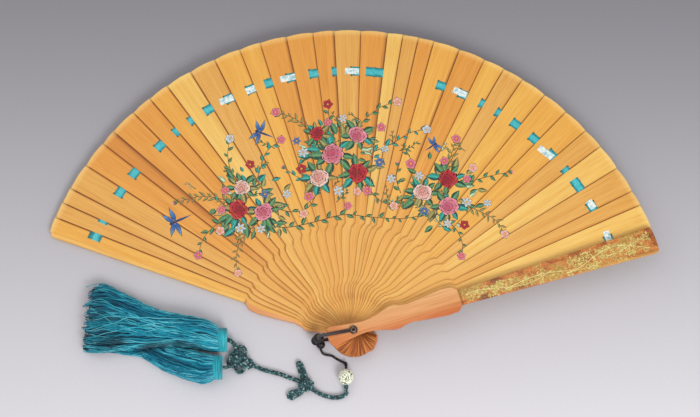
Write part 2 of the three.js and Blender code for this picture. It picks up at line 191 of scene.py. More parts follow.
def paint(red, green, blue):
    """A colour as it looks on screen, 0 to 255, in the renderer's terms."""
    return tuple(
        c / 12.92 if c <= 0.04045 else ((c + 0.055) / 1.055) ** 2.4
        for c in (red / 255, green / 255, blue / 255)
    ) + (1.0,)


class Finish:
    """A node material, with short ways to add what it is made of."""

    def __init__(self, name, **sockets):
        self.material = bpy.data.materials.new(name)
        self.material.use_nodes = True
        self.tree = self.material.node_tree
        self.shader = self.tree.nodes["Principled BSDF"]
        for socket, value in sockets.items():
            self.shader.inputs[socket.replace("_", " ")].default_value = value

    def node(self, kind, feeds=(), **settings):
        made = self.tree.nodes.new("ShaderNode" + kind)
        for setting, value in settings.items():
            setattr(made, setting, value)
        for socket, value in dict(feeds).items():
            if isinstance(value, bpy.types.NodeSocket):
                self.tree.links.new(value, made.inputs[socket])
            else:
                made.inputs[socket].default_value = value
        return made

    def feed(self, socket, value):
        self.tree.links.new(value, self.shader.inputs[socket])

    def colour(self, tone):
        self.feed("Base Color", tone)

    def math(self, operation, a, b=0.0, c=0.0):
        return self.node("Math", {0: a, 1: b, 2: c}, operation=operation).outputs[0]

    def times(self, a, b):
        return self.math("MULTIPLY", a, b)

    def place(self):
        return self.node("TexCoord").outputs["Object"]

    def axes(self, vector):
        return self.node("SeparateXYZ", {0: vector}).outputs[:]

    def upward(self):
        """How far a face looks up: 1 on top, 0 on a side and -1 below."""
        return self.axes(self.node("TexCoord").outputs["Normal"])[2]

    def along(self, place, angle):
        """Places turned so that X runs along a piece that lies at the angle."""
        feeds = {"Vector": place, "Rotation": (0, 0, -radians(angle))}
        return self.node("Mapping", feeds).outputs[0]

    def stretched(self, place, scale, shift=(0, 0, 0)):
        feeds = {"Vector": place, "Scale": scale, "Location": shift}
        return self.node("Mapping", feeds).outputs[0]

    def noise(self, place, scale, detail=3.0, roughness=0.55):
        feeds = {"Vector": place, "Scale": scale, "Detail": detail, "Roughness": roughness}
        return self.node("TexNoise", feeds).outputs["Fac"]

    def streaks(self, place, scale, detail, roughness=0.55, shift=(0, 0, 0)):
        """Noise with a scale of its own along each axis."""
        return self.noise(self.stretched(place, scale, shift), 1, detail, roughness)

    def away(self, place, scale=(1, 1, 0), shift=(0, 0, 0)):
        """How far a place is from the upright axis."""
        feeds = {0: self.stretched(place, scale, shift)}
        return self.node("VectorMath", feeds, operation="LENGTH").outputs["Value"]

    def ramp(self, value, *stops):
        """Colours, 0 to 255, between the stops of a value."""
        made = self.node("ValToRGB", {"Fac": value})
        elements = made.color_ramp.elements
        while len(elements) < len(stops):
            elements.new(0.5)
        for element, (at, colour) in zip(elements, stops):
            element.position = at
            element.color = paint(*colour)
        return made.outputs[0]

    def part(self, value, low, high, to_low=0.0, to_high=1.0):
        """How far a value is from low to high."""
        feeds = {"Value": value, "From Min": low, "From Max": high,
                 "To Min": to_low, "To Max": to_high}
        return self.node("MapRange", feeds).outputs[0]

    def fade(self, length, low, high, to_low=0.0, to_high=1.0):
        """How far a length is from low to high, which are millimetres."""
        return self.part(length, low * MM, high * MM, to_low, to_high)

    def mix(self, share, tone, over, how="MIX"):
        """A tone with a share of another, or of a colour from 0 to 255, over it."""
        feeds = {0: share, 6: tone, 7: paint(*over) if isinstance(over, tuple) else over}
        return self.node("Mix", feeds, data_type="RGBA", blend_type=how).outputs[2]

    def tinted(self, tone, tint):
        return self.mix(1.0, tone, tint, "MULTIPLY")

    def bump(self, height, depth, strength=1.0):
        """Relief of the depth in millimetres."""
        feeds = {"Height": height, "Distance": depth * MM, "Strength": strength}
        self.feed("Normal", self.node("Bump", feeds).outputs[0])


# Meshes


def shape(name, bm, *finishes, smooth=None):
    """An object at the origin from a finished bmesh."""
    mesh = bpy.data.meshes.new(name)
    bm.to_mesh(mesh)
    bm.free()
    piece = bpy.data.objects.new(name, mesh)
    bpy.context.scene.collection.objects.link(piece)
    for finish in finishes:
        mesh.materials.append(finish.material)
    if smooth is not None:
        mesh.shade_smooth()
        mesh.set_sharp_from_angle(angle=radians(smooth))
    return piece


def settled(piece, body, slot, *nodes):
    """The piece, riding on its body in the place of the CAD nodes that it dresses."""
    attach(piece, body)
    if nodes:
        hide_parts(*nodes)
    return piece


def merged_copy(node):
    """A bmesh of a CAD node with its loose triangles joined."""
    bm = bmesh.new()
    bm.from_mesh(frame["nodes"][node].data)
    bmesh.ops.remove_doubles(bm, verts=bm.verts, dist=0.002 * MM)
    bmesh.ops.dissolve_limit(
        bm, angle_limit=radians(0.6), verts=bm.verts, edges=bm.edges
    )
    return bm


def round_edges(bm, width, segments=3, sharper_than=40, edges=None):
    """Bevels the edges given, or every edge that is sharper than the angle."""
    limit = radians(sharper_than)
    if edges is None:
        edges = [e for e in bm.edges if len(e.link_faces) == 2 and e.calc_face_angle() > limit]
    bmesh.ops.bevel(
        bm, geom=edges, offset=width * MM, offset_type="OFFSET", affect="EDGES",
        segments=segments, profile=0.5, material=-1, clamp_overlap=True,
    )


def spun(outline, centre, axis, steps):
    """A closed turning: the outline's (along, radius) pairs spun round the axis."""
    axis = Vector(axis)
    out = axis.orthogonal().normalized()
    bm = bmesh.new()
    rim = [bm.verts.new((Vector(centre) + axis * a + out * r) * MM) for a, r in outline]
    edges = [bm.edges.new(pair) for pair in zip(rim, rim[1:])]
    bmesh.ops.spin(
        bm, geom=rim + edges, cent=Vector(centre) * MM, axis=axis, angle=2 * pi,
        steps=steps, use_merge=True, use_duplicate=False,
    )
    bmesh.ops.remove_doubles(bm, verts=bm.verts, dist=0.001 * MM)
    face_outward(bm)
    return bm


def lift(bm, height, verts=None):
    """Moves all of a bmesh, or some of its vertices, up by millimetres."""
    verts = bm.verts if verts is None else verts
    bmesh.ops.translate(bm, verts=verts, vec=(0, 0, height * MM))


def swing(bm, angle, centre=(0, 0, 0)):
    matrix = Matrix.Rotation(radians(angle), 3, "Z")
    bmesh.ops.rotate(bm, cent=centre, verts=bm.verts, matrix=matrix)


def face_outward(bm):
    bmesh.ops.recalc_face_normals(bm, faces=bm.faces)


def new_verts(made):
    """The vertices among what a bmesh operator made."""
    return [v for v in made["geom"] if isinstance(v, bmesh.types.BMVert)]


def ball(centre, half_sizes):
    bm = bmesh.new()
    bmesh.ops.create_uvsphere(bm, u_segments=16, v_segments=8, radius=1)
    bmesh.ops.scale(bm, vec=Vector(half_sizes) * MM, verts=bm.verts)
    bmesh.ops.translate(bm, vec=Vector(centre) * MM, verts=bm.verts)
    return bm


def joined(*parts):
    """One bmesh out of several."""
    whole = bmesh.new()
    for bm in parts:
        mesh = bpy.data.meshes.new("part")
        bm.to_mesh(mesh)
        bm.free()
        whole.from_mesh(mesh)
        bpy.data.meshes.remove(mesh)
    return whole


# Cords and threads


def smooth_line(places, step, closed=False):
    """Points every step along the smooth curve through the places."""
    knots = [Vector(p) for p in places]
    if closed:
        knots = [knots[-1], *knots, knots[0], knots[1]]
    else:
        knots = [2 * knots[0] - knots[1], *knots, 2 * knots[-1] - knots[-2]]
    fine = []
    for a, b, c, d in zip(knots, knots[1:], knots[2:], knots[3:]):
        for k in range(12):
            t = k / 12
            fine.append(0.5 * (
                2 * b + (c - a) * t + (2 * a - 5 * b + 4 * c - d) * t**2
                + (3 * b - a - 3 * c + d) * t**3
            ))
    fine.append(knots[-2])
    lengths = [0.0]
    for a, b in zip(fine, fine[1:]):
        lengths.append(lengths[-1] + (b - a).length)
    count = max(2, round(lengths[-1] / step) + 1)
    line, k = [], 0
    for i in range(count):
        want = lengths[-1] * i / (count - 1)
        while k < len(fine) - 2 and lengths[k + 1] < want:
            k += 1
        span = max(lengths[k + 1] - lengths[k], 1e-9)
        line.append(fine[k].lerp(fine[k + 1], min(1.0, (want - lengths[k]) / span)))
    return line


def crossways(line):
    """Each point of a line with its distance along and two cross directions."""
    side, run = None, 0.0
    for i, point in enumerate(line):
        ahead = (line[min(i + 1, len(line) - 1)] - line[max(i - 1, 0)]).normalized()
        if side is None:
            side = ahead.orthogonal()
        side = (side - ahead * side.dot(ahead)).normalized()
        if i:
            run += (point - line[i - 1]).length
        yield point, run, side, ahead.cross(side)


def braided(line, thickness, lay=3.0, strands=4):
    """The strands of a round braid along a line: half go each way, over one and under one."""
    strand = thickness * BRAID_STRAND
    middle = thickness / 2 - strand * 0.9
    weave = strand * 0.45
    turn = 2 * pi / (lay * thickness)
    lines = []
    for way in (1, -1):
        for k in range(strands):
            lines.append([
                point + around(side, other, way * turn * run + 2 * pi * k / strands)
                * (middle + way * weave * cos(strands * turn * run))
                for point, run, side, other in crossways(line)
            ])
    return lines, strand


def twisted(line, thickness, plies=3, lay=3.2):
    """The plies of a twisted cord along a line."""
    ply = thickness * 0.5
    lines = [
        [point + around(side, other, 2 * pi * (run / (lay * thickness) + k / plies))
         * (thickness - ply) / 2
         for point, run, side, other in crossways(line)]
        for k in range(plies)
    ]
    return lines, ply


def threads(lines, thickness, roundness=1, shade=None):
    """Round threads along lines, as a bmesh, with a shade from 0 to 1 where one is given."""
    curve = bpy.data.curves.new("threads", "CURVE")
    curve.dimensions = "3D"
    curve.bevel_depth = thickness / 2 * MM
    curve.bevel_resolution = roundness
    curve.use_fill_caps = True
    for line in lines:
        spline = curve.splines.new("POLY")
        spline.points.add(len(line) - 1)
        for point, place in zip(spline.points, line):
            point.co = (place[0] * MM, place[1] * MM, place[2] * MM, 1)
    carrier = bpy.data.objects.new("threads", curve)
    bpy.context.scene.collection.objects.link(carrier)
    bpy.context.view_layer.update()
    mesh = bpy.data.meshes.new_from_object(
        carrier.evaluated_get(bpy.context.evaluated_depsgraph_get())
    )
    bpy.data.objects.remove(carrier)
    bpy.data.curves.remove(curve)
    bm = bmesh.new()
    bm.from_mesh(mesh)
    bpy.data.meshes.remove(mesh)
    bmesh.ops.remove_doubles(bm, verts=bm.verts, dist=0.0005 * MM)
    if shade is not None:
        strand = bm.verts.layers.float.new("strand")
        for vert in bm.verts:
            vert[strand] = shade
    return bm


def teal_braid_finish():
    finish = Finish("teal_braid", Roughness=0.55, Sheen_Weight=0.25, Sheen_Roughness=0.4)
    place = finish.place()
    fleck = finish.noise(place, 620, 3, 0.6)
    tone = finish.ramp(
        fleck, (0.38, (8, 28, 36)), (0.49, (32, 76, 82)), (0.57, (64, 112, 114)),
        (0.66, (176, 204, 198)),
    )
    finish.colour(tone)
    finish.bump(finish.noise(place, 5000, 2), 0.05)
    return finish


def black_silk_finish():
    finish = Finish("black_silk", Roughness=0.42, Sheen_Weight=0.08, Sheen_Roughness=0.3)
    place = finish.place()
    tone = finish.ramp(
        finish.noise(place, 700, 3), (0.38, (6, 4, 7)), (0.62, (18, 13, 16)), (0.8, (58, 44, 46))
    )
    finish.colour(tone)
    finish.bump(finish.noise(place, 4000, 2), 0.05)
    return finish


HANGER_ROUTE = (
    (-20.3, -11.25, 6.5), (-19, -12.8, 3), (-16.2, -13.4, 1.1), (-13, -14, 0.9),
    (-9.8, -16, 0.9), (-6.9, -17.5, 0.9), (-4.9, -18.5, 1.5), (-4, -19.6, 3.2),
    (-3.9, -21.2, 4.6), (-3.9, -22.6, 5), (-3.9, -24.4, 5),
)
UPPER_ROUTE = (
    (-3.9, -34.1, 5), (-3.9, -35.4, 4.8), (-3.6, -37.6, 2.8), (-4.2, -39.4, 1.7),
    (-7.4, -41, 1.65), (-11.6, -41.4, 1.65), (-16.4, -40.6, 1.65), (-20.8, -39, 1.65),
    (-25.7, -36.2, 2.4),
)
MIDDLE_ROUTE = (
    (-34.7, -30.7, 2.2), (-40.5, -28.7, 1.65), (-47, -26.3, 1.65), (-53.6, -24.6, 1.65),
    (-59.4, -23, 1.65), (-66.8, -19.3, 2.4),
)
UPPER_STRAND_ROUTE = (
    (-75, -10.2, 3.4), (-76.6, -8.4, 4.9), (-78.6, -6.2, 7), (-80.6, -5.1, 8), (-83.4, -5, 8),
)
LOWER_STRAND_ROUTE = (
    (-77.3, -20.2, 2.9), (-79.6, -21.6, 5), (-81.6, -22.7, 7.2), (-83.8, -23.1, 8),
    (-86, -23.1, 8),
)


def whipped_end():
    """Two threads wound round the black cord where it enters the bead."""
    line = smooth_line(
        ((-4.4, -18.9, 2.2), (-4, -19.8, 3.4), (-3.9, -21.4, 4.7), (-3.9, -23.1, 5)), 0.2
    )
    lines = [
        [point + around(side, other, 2 * pi * (run / 0.9 + k / 2))
         * (0.7 + 0.5 * max(0.0, 1 - run / 4.6))
         for point, run, side, other in crossways(line)]
        for k in range(2)
    ]
    return threads(lines, 0.5)


def hang_cords():
    """The black cord from the bail, the bead, the teal cord with its knots, and the tassels."""
    teal = teal_braid_finish()
    silk = black_silk_finish()
    bail_knot = tie_bail_knot(silk)
    bead = carve_bead()
    loop_knot = tie_loop_knot(teal)
    flower_knot = tie_flower_knot(teal)
    caps = [wind_cap("upper_tassel_collar", "upper_tassel_cap", UPPER_CAP),
            wind_cap("lower_tassel_collar", "lower_tassel_cap", LOWER_CAP)]

    route = ((-20.9, -9.6, 7.6), *HANGER_ROUTE, (-3.9, -26.6, 5))
    lines, ply = twisted(smooth_line(route, 0.28), HANGER_THICKNESS)
    hanger = shape("black_hanger_cord", joined(threads(lines, ply), whipped_end()), silk, smooth=60)
    settled(hanger, "bail_side", "black_silk", "hanger_cord")
    path = smooth_line(route, 1.0)

    through = (
        (-3.9, -31.0, 5), *UPPER_ROUTE, (-30.2, -33.2, 3.2), *MIDDLE_ROUTE,
        (-71.2, -15.6, 3.6), *UPPER_STRAND_ROUTE,
    )
    lines, strand = braided(smooth_line(through, 0.3), CORD_THICKNESS)
    cord = shape("teal_cord", threads(lines, strand), teal, smooth=60)
    settled(cord, "bail_side", "teal_cord",
            "cord_to_loop_knot", "cord_between_knots", "cord_to_upper_tassel")
    branch = smooth_line(((-74.4, -18.6, 3.2), *LOWER_STRAND_ROUTE), 0.28)
    lines, strand = braided(branch, STRAND_THICKNESS)
    lower = shape("lower_tassel_strand", threads(lines, strand), teal, smooth=60)
    settled(lower, "bail_side", "teal_cord", "cord_to_lower_tassel")
    path = smooth_line(through, 2.6)
    spread_skirts()


def tie_bail_knot(silk):
    """Three lumps of wound black silk round the bail's bar."""
    bar_x, bar_y = BAIL_BAR
    lumps = (
        ((bar_x, bar_y, 12.0), (3.6, 3.3, 4.2)),
        ((bar_x - 1.4, bar_y - 0.8, 7.4), (3.4, 3.2, 3.2)),
        ((bar_x + 1.6, bar_y - 3.4, 7.0), (3.0, 2.8, 3.4)),
    )
    rng = random.Random(11)
    turns_round_lump = 26
    parts = []
    for centre, half_sizes in lumps:
        parts.append(ball(centre, [half - 0.5 for half in half_sizes]))
        reach = [half - 0.35 for half in half_sizes]
        lines = []
        for _ in range(turns_round_lump):
            across = Vector([rng.gauss(0, 1) for _ in range(3)]).normalized()
            side = across.orthogonal().normalized()
            other = across.cross(side)
            rise = rng.uniform(-0.55, 0.55)
            lines.append([
                Vector(centre) + Vector([
                    (cos(a) * s + sin(a) * o) * cos(rise) * r + c * sin(rise) * r
                    for s, o, c, r in zip(side, other, across, reach)
                ])
                for a in round_angles(28, closed=True)
            ])
        parts.append(threads(lines, 0.72))
    knot = shape("black_silk_knot", joined(*parts), silk, smooth=60)
    return settled(knot, "bail_side", "black_silk", "bail_knot")


def carve_bead():
    """A pale bead, carved with grooves that are painted darker as shade, on the black cord."""
    x, y, z = BEAD_CENTRE
    bore, half, radius = 1.3, 5.3, 5.0
    start = asin(bore / radius)
    outside_steps, bore_steps = 44, 6
    outer = [
        (-half * cos(a), radius * sin(a))
        for a in [start + (pi - 2 * start) * k / outside_steps for k in range(outside_steps + 1)]
    ]
    end = outer[-1][0]
    inner = [(end - 2 * end * k / bore_steps, bore) for k in range(1, bore_steps + 1)]
    bm = spun(outer + inner, (x, y, z), (0, 1, 0), 96)
    # Painted shade: the colour is darker where the carving is deeper
    groove_shade = bm.loops.layers.color.new("carving")
    depth = {}
    for vert in bm.verts:
        local = vert.co / MM - Vector(BEAD_CENTRE)
        if hypot(local.x, local.z) < bore + 0.25:
            depth[vert] = 0.0
            continue
        near, _ = noise.voronoi(local.normalized() * 2.6 + Vector((3.1, 0, 7)))
        groove = max(0.0, 1 - (near[1] - near[0]) / 0.24)
        petal = 0.5 + 0.5 * cos(near[0] * 16)
        depth[vert] = min(1.0, groove + 0.35 * petal)
        vert.co -= vert.normal * MM * (0.42 * groove + 0.13 * petal)
    for face in bm.faces:
        for loop in face.loops:
            loop[groove_shade] = (depth[loop.vert],) * 3 + (1.0,)
    finish = Finish("carved_bead", Roughness=0.38, Subsurface_Weight=0.08)
    shade = finish.node("VertexColor", layer_name="carving").outputs["Color"]
    mottle = finish.noise(finish.place(), 900, 3)
    tone = finish.ramp(
        finish.math("ADD", shade, finish.times(mottle, 0.25)),
        (0.14, (252, 252, 236)), (0.5, (236, 238, 208)), (0.8, (156, 154, 108)),
        (1.0, (78, 74, 48)),
    )
    finish.colour(tone)
    finish.bump(mottle, 0.04)
    bead = shape("carved_pale_bead", bm, finish, smooth=50)
    return settled(bead, "bail_side", "bead", "bead")


def tied(name, runs, core, teal, node):
    """A knot from runs of braid, each with its places, its thickness and whether it closes."""
    lines = []
    for places, thickness, closed in runs:
        lines += braided(smooth_line(places, 0.3, closed), thickness)[0]
    strand = runs[0][1] * BRAID_STRAND
    knot = shape(name, joined(threads(lines, strand), core), teal, smooth=60)
    return settled(knot, "bail_side", "teal_cord", node)


def tie_loop_knot(teal):
    """An open knot: a wound body with one doubled loop and one round loop."""
    turn = radians(-35)
    along = Vector((cos(turn), sin(turn), 0))
    across = Vector((-along.y, along.x, 0))
    body = Vector((-30, -33, 3.4))
    coils = [
        [body + along * (shift + tilt * 2 * sin(a))
         + across * 3.1 * cos(a) + Vector((0, 0, 1.85 * sin(a)))
         for a in round_angles(16)]
        for shift, tilt in ((-2.6, 0.5), (0.0, -0.35), (2.5, 0.45))
    ]
    doubled = (
        (-30.0, -31.6, 3.6), (-29.9, -28.6, 3.0), (-31.3, -24.2, 2.0), (-32.9, -20.2, 1.65),
        (-34.3, -18.5, 1.6), (-35.4, -19.9, 1.65), (-33.8, -24.9, 2.0), (-32.4, -29.2, 2.9),
        (-31.6, -32.0, 3.4),
    )
    rounded_loop = (
        (-30.6, -33.6, 3.6), (-33.0, -36.3, 2.4), (-36.8, -37.5, 1.8), (-40.0, -38.3, 1.65),
        (-41.3, -40.6, 1.65), (-39.4, -42.0, 1.65), (-36.4, -40.4, 1.8), (-33.2, -38.6, 2.2),
        (-30.6, -35.2, 3.2),
    )
    runs = [*((coil, 2.9, True) for coil in coils), (doubled, 2.75, False), (rounded_loop, 3.0, False)]
    return tied("loop_knot_braid", runs, ball(body, (3.4, 3.0, 1.9)), teal, "loop_knot")


def tie_flower_knot(teal):
    """A knot of small rings of cord laid round a wound middle."""
    rings = (
        ((-73.0, -11.9, 3.2), 3.3, (0.10, 0.10, 1)),
        ((-77.2, -15.0, 2.9), 2.3, (-0.2, 0.1, 1)),
        ((-78.6, -18.8, 2.8), 2.4, (-0.15, -0.1, 1)),
        ((-73.4, -22.8, 2.8), 2.6, (0.1, -0.2, 1)),
        ((-67.6, -19.8, 3.0), 2.4, (0.25, -0.1, 1)),
        ((-71.6, -17.0, 5.0), 2.4, (0.1, -0.1, 1)),
        ((-75.4, -18.2, 4.6), 2.2, (-0.1, -0.1, 1)),
    )
    runs = []
    for centre, radius, facing in rings:
        axis = Vector(facing).normalized()
        side = axis.orthogonal().normalized()
        other = axis.cross(side)
        places = [Vector(centre) + around(side, other, a) * radius for a in round_angles(14)]
        runs.append((places, 2.8, True))
    core = ball((-73.2, -18.0, 2.6), (3.8, 3.4, 1.7))
    return tied("flower_knot_braid", runs, core, teal, "flower_knot")


def start_teal_silk(name, scale):
    """Teal silk, its places, and its streaks: of the thread, broad ones, and both together."""
    finish = Finish(name, Roughness=0.42, Sheen_Weight=0.35, Sheen_Roughness=0.35)
    place = finish.place()
    strand = finish.streaks(place, scale, 2)
    broad = finish.noise(place, 60, 2)
    mixed = finish.math("MULTIPLY_ADD", broad, 0.45, finish.times(strand, 0.55))
    finish.bump(finish.noise(place, 6000, 2), 0.03)
    return finish, place, strand, broad, mixed


def collar_finish():
    finish, *_, mixed = start_teal_silk("teal_collar", (1800, 90, 90))
    finish.colour(finish.ramp(
        mixed, (0.3, (4, 80, 98)), (0.44, (12, 130, 148)), (0.56, (26, 170, 184)),
        (0.72, (98, 216, 224)),
    ))
    return finish


def skirt_finish():
    """Silk thread, lighter on some strands than on others, with deep shade in its folds."""
    finish, place, strand, broad, mixed = start_teal_silk("teal_skirt_silk", (22, 1300, 1300))
    own = finish.node("Attribute", attribute_name="strand").outputs["Fac"]
    tone = finish.ramp(
        finish.math("MULTIPLY_ADD", own, 0.42, finish.times(mixed, 0.58)),
        (0.2, (2, 27, 51)), (0.37, (3, 77, 107)), (0.52, (5, 127, 154)),
        (0.65, (24, 166, 186)), (0.8, (120, 210, 222)),
    )
    x, y, _ = finish.axes(place)
    near_end = finish.fade(x, -146, -166, 0, 0.36)
    tone = finish.mix(near_end, tone, (10, 62, 76))
    # Painted shade in the arched fold where the skirts meet, and in the hollow at the lower edge of the upper one
    arch = finish.math("POWER", finish.math("ABSOLUTE", finish.math("ADD", x, 118 * MM)), 2)
    fold = finish.math("ADD", y, finish.math("MULTIPLY_ADD", arch, 7.5, 8.4 * MM))
    fold = finish.math("MULTIPLY_ADD", broad, 6 * MM, finish.math("ABSOLUTE", fold))
    fold = finish.times(finish.fade(fold, 6.2, 3.4, 0, 0.8), finish.fade(x, -144, -136))
    hollow = finish.away(place, (75, 200, 0), (11.7, 1.5, 0))
    hollow = finish.math("ADD", hollow, finish.times(strand, 1.4))
    hollow = finish.part(hollow, 1.75, 1.2, 0, 0.75)
    tone = finish.mix(finish.math("MAXIMUM", fold, hollow), tone, (8, 38, 56))
    finish.colour(tone)
    return finish


def wind_cap(name, node, place):
    """The bound collar of a tassel, wound with turns of silk."""
    turns = 13
    wire = CAP_LENGTH / turns
    outline = [(0.4, 1.5), (0.15, 3.0), (0.1, 5.2), (0.2, 6.9)]
    for k in range(turns):
        for j in range(5):
            a = pi * j / 5
            at = k * wire + wire * (1 - cos(a)) / 2
            crown = 0.6 * (1 - min(1.0, min(at, CAP_LENGTH - at) / 1.1)) ** 2
            outline.append((at + 0.15 * (k == 0), CAP_RADIUS - 0.2 - crown + 0.2 * sin(a)))
    outline += [(CAP_LENGTH, CAP_RADIUS - 1.1), (CAP_LENGTH - 0.2, 4.0), (CAP_LENGTH - 0.3, 0.0)]
    outline = [(0.9, 0.0), (0.8, 1.2), *outline]
    cap = shape(name, spun(outline, place, (-1, 0, 0), 64), collar_finish(), smooth=50)
    return settled(cap, "bail_side", "teal_silk", node)


# Cuts across the skirts: distance, south edge, north edge and height
UPPER_SKIRT = (
    (-87.2, -12.2, 2.4, 15.2), (-89, -12.6, 4.4, 15.4), (-93, -12.2, 7.0, 15.0),
    (-101, -10.8, 9.4, 14.4), (-115, -9.0, 12.0, 13.4), (-126, -9.4, 14.2, 12.8),
    (-136, -10.6, 18.4, 12.4), (-147, -11.4, 24.2, 12.0), (-163, -13.6, 31.8, 11.0),
    (-172, -13.0, 31.0, 9.0), (-176.5, -12.0, 29.0, 7.0),
)
LOWER_SKIRT = (
    (-89.8, -30.4, -15.8, 15.2), (-91.4, -31.8, -15.0, 15.4), (-97, -33.2, -13.8, 14.4),
    (-106, -31.2, -11.6, 12.0), (-122, -25.0, -7.4, 7.0), (-138, -15.2, 0.0, 4.4),
    (-156, -13.0, 8.0, 4.0), (-169, -11.0, 10.0, 3.4),
)
SKIRT_THREAD = 0.54
STRAND_STEP = 2.1
SILK_SHADES = 7


def cut_at(cuts, x):
    """South edge, north edge and height of a skirt at x."""
    for (x0, *a), (x1, *b) in zip(cuts, cuts[1:]):
        if x >= x1:
            t = max(0.0, (x0 - x) / (x0 - x1))
            return [p + (q - p) * t for p, q in zip(a, b)]
    return list(cuts[-1][1:])


def skirt_top(cuts, x, y):
    """How high the skirt is over a point, or 0 beside it."""
    south, north, top = cut_at(cuts, x)
    share = abs(y - (south + north) / 2) / ((north - south) / 2)
    if share >= 1 or x < cuts[-1][0]:
        return 0.0
    return top / 2 * (1 + (1 - share ** (2 / 0.75)) ** 0.375)


def skirt_spot(cuts, x, angle, depth):
    """A place round the skirt at x; depth 1 is its outside."""
    south, north, top = cut_at(cuts, x)
    c, s = cos(angle), sin(angle)
    return Vector((
        x,
        (south + north) / 2 - (north - south) / 2 * depth * copysign(abs(c) ** 0.75, c),
        top / 2 * (1 + depth * copysign(abs(s) ** 0.75, s)),
    ))


def slanted_end(y):
    """How much shorter the silk is towards the skirt's north corner."""
    return max(0.0, y - 17) * 0.5


def skirt_core(cuts, over=None):
    """The dense silk under the strands."""
    bm = bmesh.new()
    places = [cuts[0][0] - 0.2, *(cut[0] for cut in cuts[1:-2]), cuts[-1][0] + 8]
    rims = []
    for x in places:
        ring = bmesh.ops.create_circle(bm, segments=28, radius=1, cap_ends=x in (places[0], places[-1]))
        for vert in ring["verts"]:
            place = skirt_spot(cuts, x, atan2(vert.co.y, vert.co.x), 0.84)
            if x == places[-1]:
                place.x += slanted_end(place.y)
            if over:
                place.z = max(place.z, skirt_top(over, x, place.y) + 0.3)
            vert.co = place * MM
        rims.append({edge for vert in ring["verts"] for edge in vert.link_edges})
    for near, far in zip(rims, rims[1:]):
        bmesh.ops.bridge_loops(bm, edges=[*near, *far])
    face_outward(bm)
    return bm


def skirt_strands(cuts, layers, seed, ends, over=None):
    """Wavy silk strands in locks of three that follow the skirt's cuts, each with its shade."""
    rng = random.Random(seed)
    calm_run, lean_run, lowest = 8, 80, 0.35
    strands = []
    for depth, count, shades, drift in layers:
        for k in range(count):
            if k % 3 == 0:
                wave, phase = rng.uniform(0.14, 0.42), rng.uniform(-0.7, 0.7) + k * 0.21
                lean, length = rng.uniform(-drift, drift), rng.uniform(8.0, 14.5)
                lock_end = cuts[-1][0] + rng.uniform(*ends)
            a = 2 * pi * (k + rng.uniform(-0.4, 0.4)) / count
            rho = depth * rng.uniform(0.95, 1.0)
            end = lock_end + rng.uniform(-1.5, 1.5)
            end += slanted_end(skirt_spot(cuts, cuts[-1][0], a, rho).y)
            own = rng.uniform(-1.0, 1.0)
            line = []
            x = cuts[0][0]
            while x > end:
                run = cuts[0][0] - x
                grow = min(1.0, run / calm_run)
                spot = skirt_spot(cuts, x, a + lean * run / lean_run, rho)
                spot.y += grow * wave * sin(2 * pi * run / length + phase + own)
                spot.z += grow * wave * sin(2 * pi * run / (length * 1.27) + 2 * phase)
                if over:
                    spot.z = max(spot.z, skirt_top(over, x, spot.y) + 0.5)
                spot.z = max(lowest, spot.z)
                line.append(spot)
                x -= STRAND_STEP
            strands.append((rng.choice(shades), line))
    return strands


def spread_skirts():
    silk = skirt_finish()
    # The core under the strands is painted dark teal, as shade inside the tassel
    dense = Finish("deep_teal_silk", Roughness=0.7)
    dense.colour(dense.ramp(
        dense.streaks(dense.place(), (20, 900, 900), 2), (0.3, (8, 50, 68)), (0.7, (20, 98, 116)),
    ))
    # Layers of strands: how far out, how many, their shades and how far they stray; the deeper layers take the
    # darker shades, as painted shade inside the skirt
    for name, node, cuts, layers, seed, ends, over in (
        ("upper_tassel_silk", "upper_tassel_skirt", UPPER_SKIRT,
         ((1.04, 12, (6,), 1.6), (1.0, 312, (1, 3, 4, 4, 5, 6), 0.6), (0.93, 132, (0, 1, 2), 0.6),
          (0.8, 51, (0, 0, 1), 0.6)),
         5, (0.0, 5.5), LOWER_SKIRT),
        ("lower_tassel_silk", "lower_tassel_skirt", LOWER_SKIRT,
         ((1.04, 9, (6,), 1.6), (1.0, 249, (1, 2, 3, 3, 4, 6), 0.6), (0.92, 108, (0, 1, 2), 0.6),
          (0.75, 42, (0, 0, 1), 0.6)),
         8, (0.5, 6.0), None),
    ):
        strands = skirt_strands(cuts, layers, seed, ends, over)
        core = skirt_core(cuts, over)
        core_faces = len(core.faces)
        body = joined(core, *(
            threads([line for own, line in strands if own == shade], SKIRT_THREAD, roundness=0,
                    shade=shade / (SILK_SHADES - 1))
            for shade in range(SILK_SHADES)
        ))
        body.faces.ensure_lookup_table()
        for face in body.faces[:core_faces]:
            face.material_index = 1
        settled(shape(name, body, silk, dense, smooth=60), "bail_side", "teal_silk", node)


# Sticks

# Woods by how they look, and which of them each stick from the left is cut from
WOODS = {
    "y": (236, 180, 84), "t": (229, 176, 94), "o": (229, 163, 75), "b": (217, 147, 66),
    "w": (234, 174, 79), "p": (241, 200, 112), "l": (238, 186, 90),
}
STICK_WOODS = "ytttoboowptyyoootoptoyoltlyytpttp"
# Sticks with a broad painted shadow beside the edge of the stick that lies on them, and how far it reaches in
# millimetres
SHADOWED_STICKS = {6: 3.4, 14: 2.4, 16: 2.2, 18: 3.0, 22: 2.2}


def shaded(colour, shares):
    return tuple(min(255, round(c * k)) for c, k in zip(colour, shares))


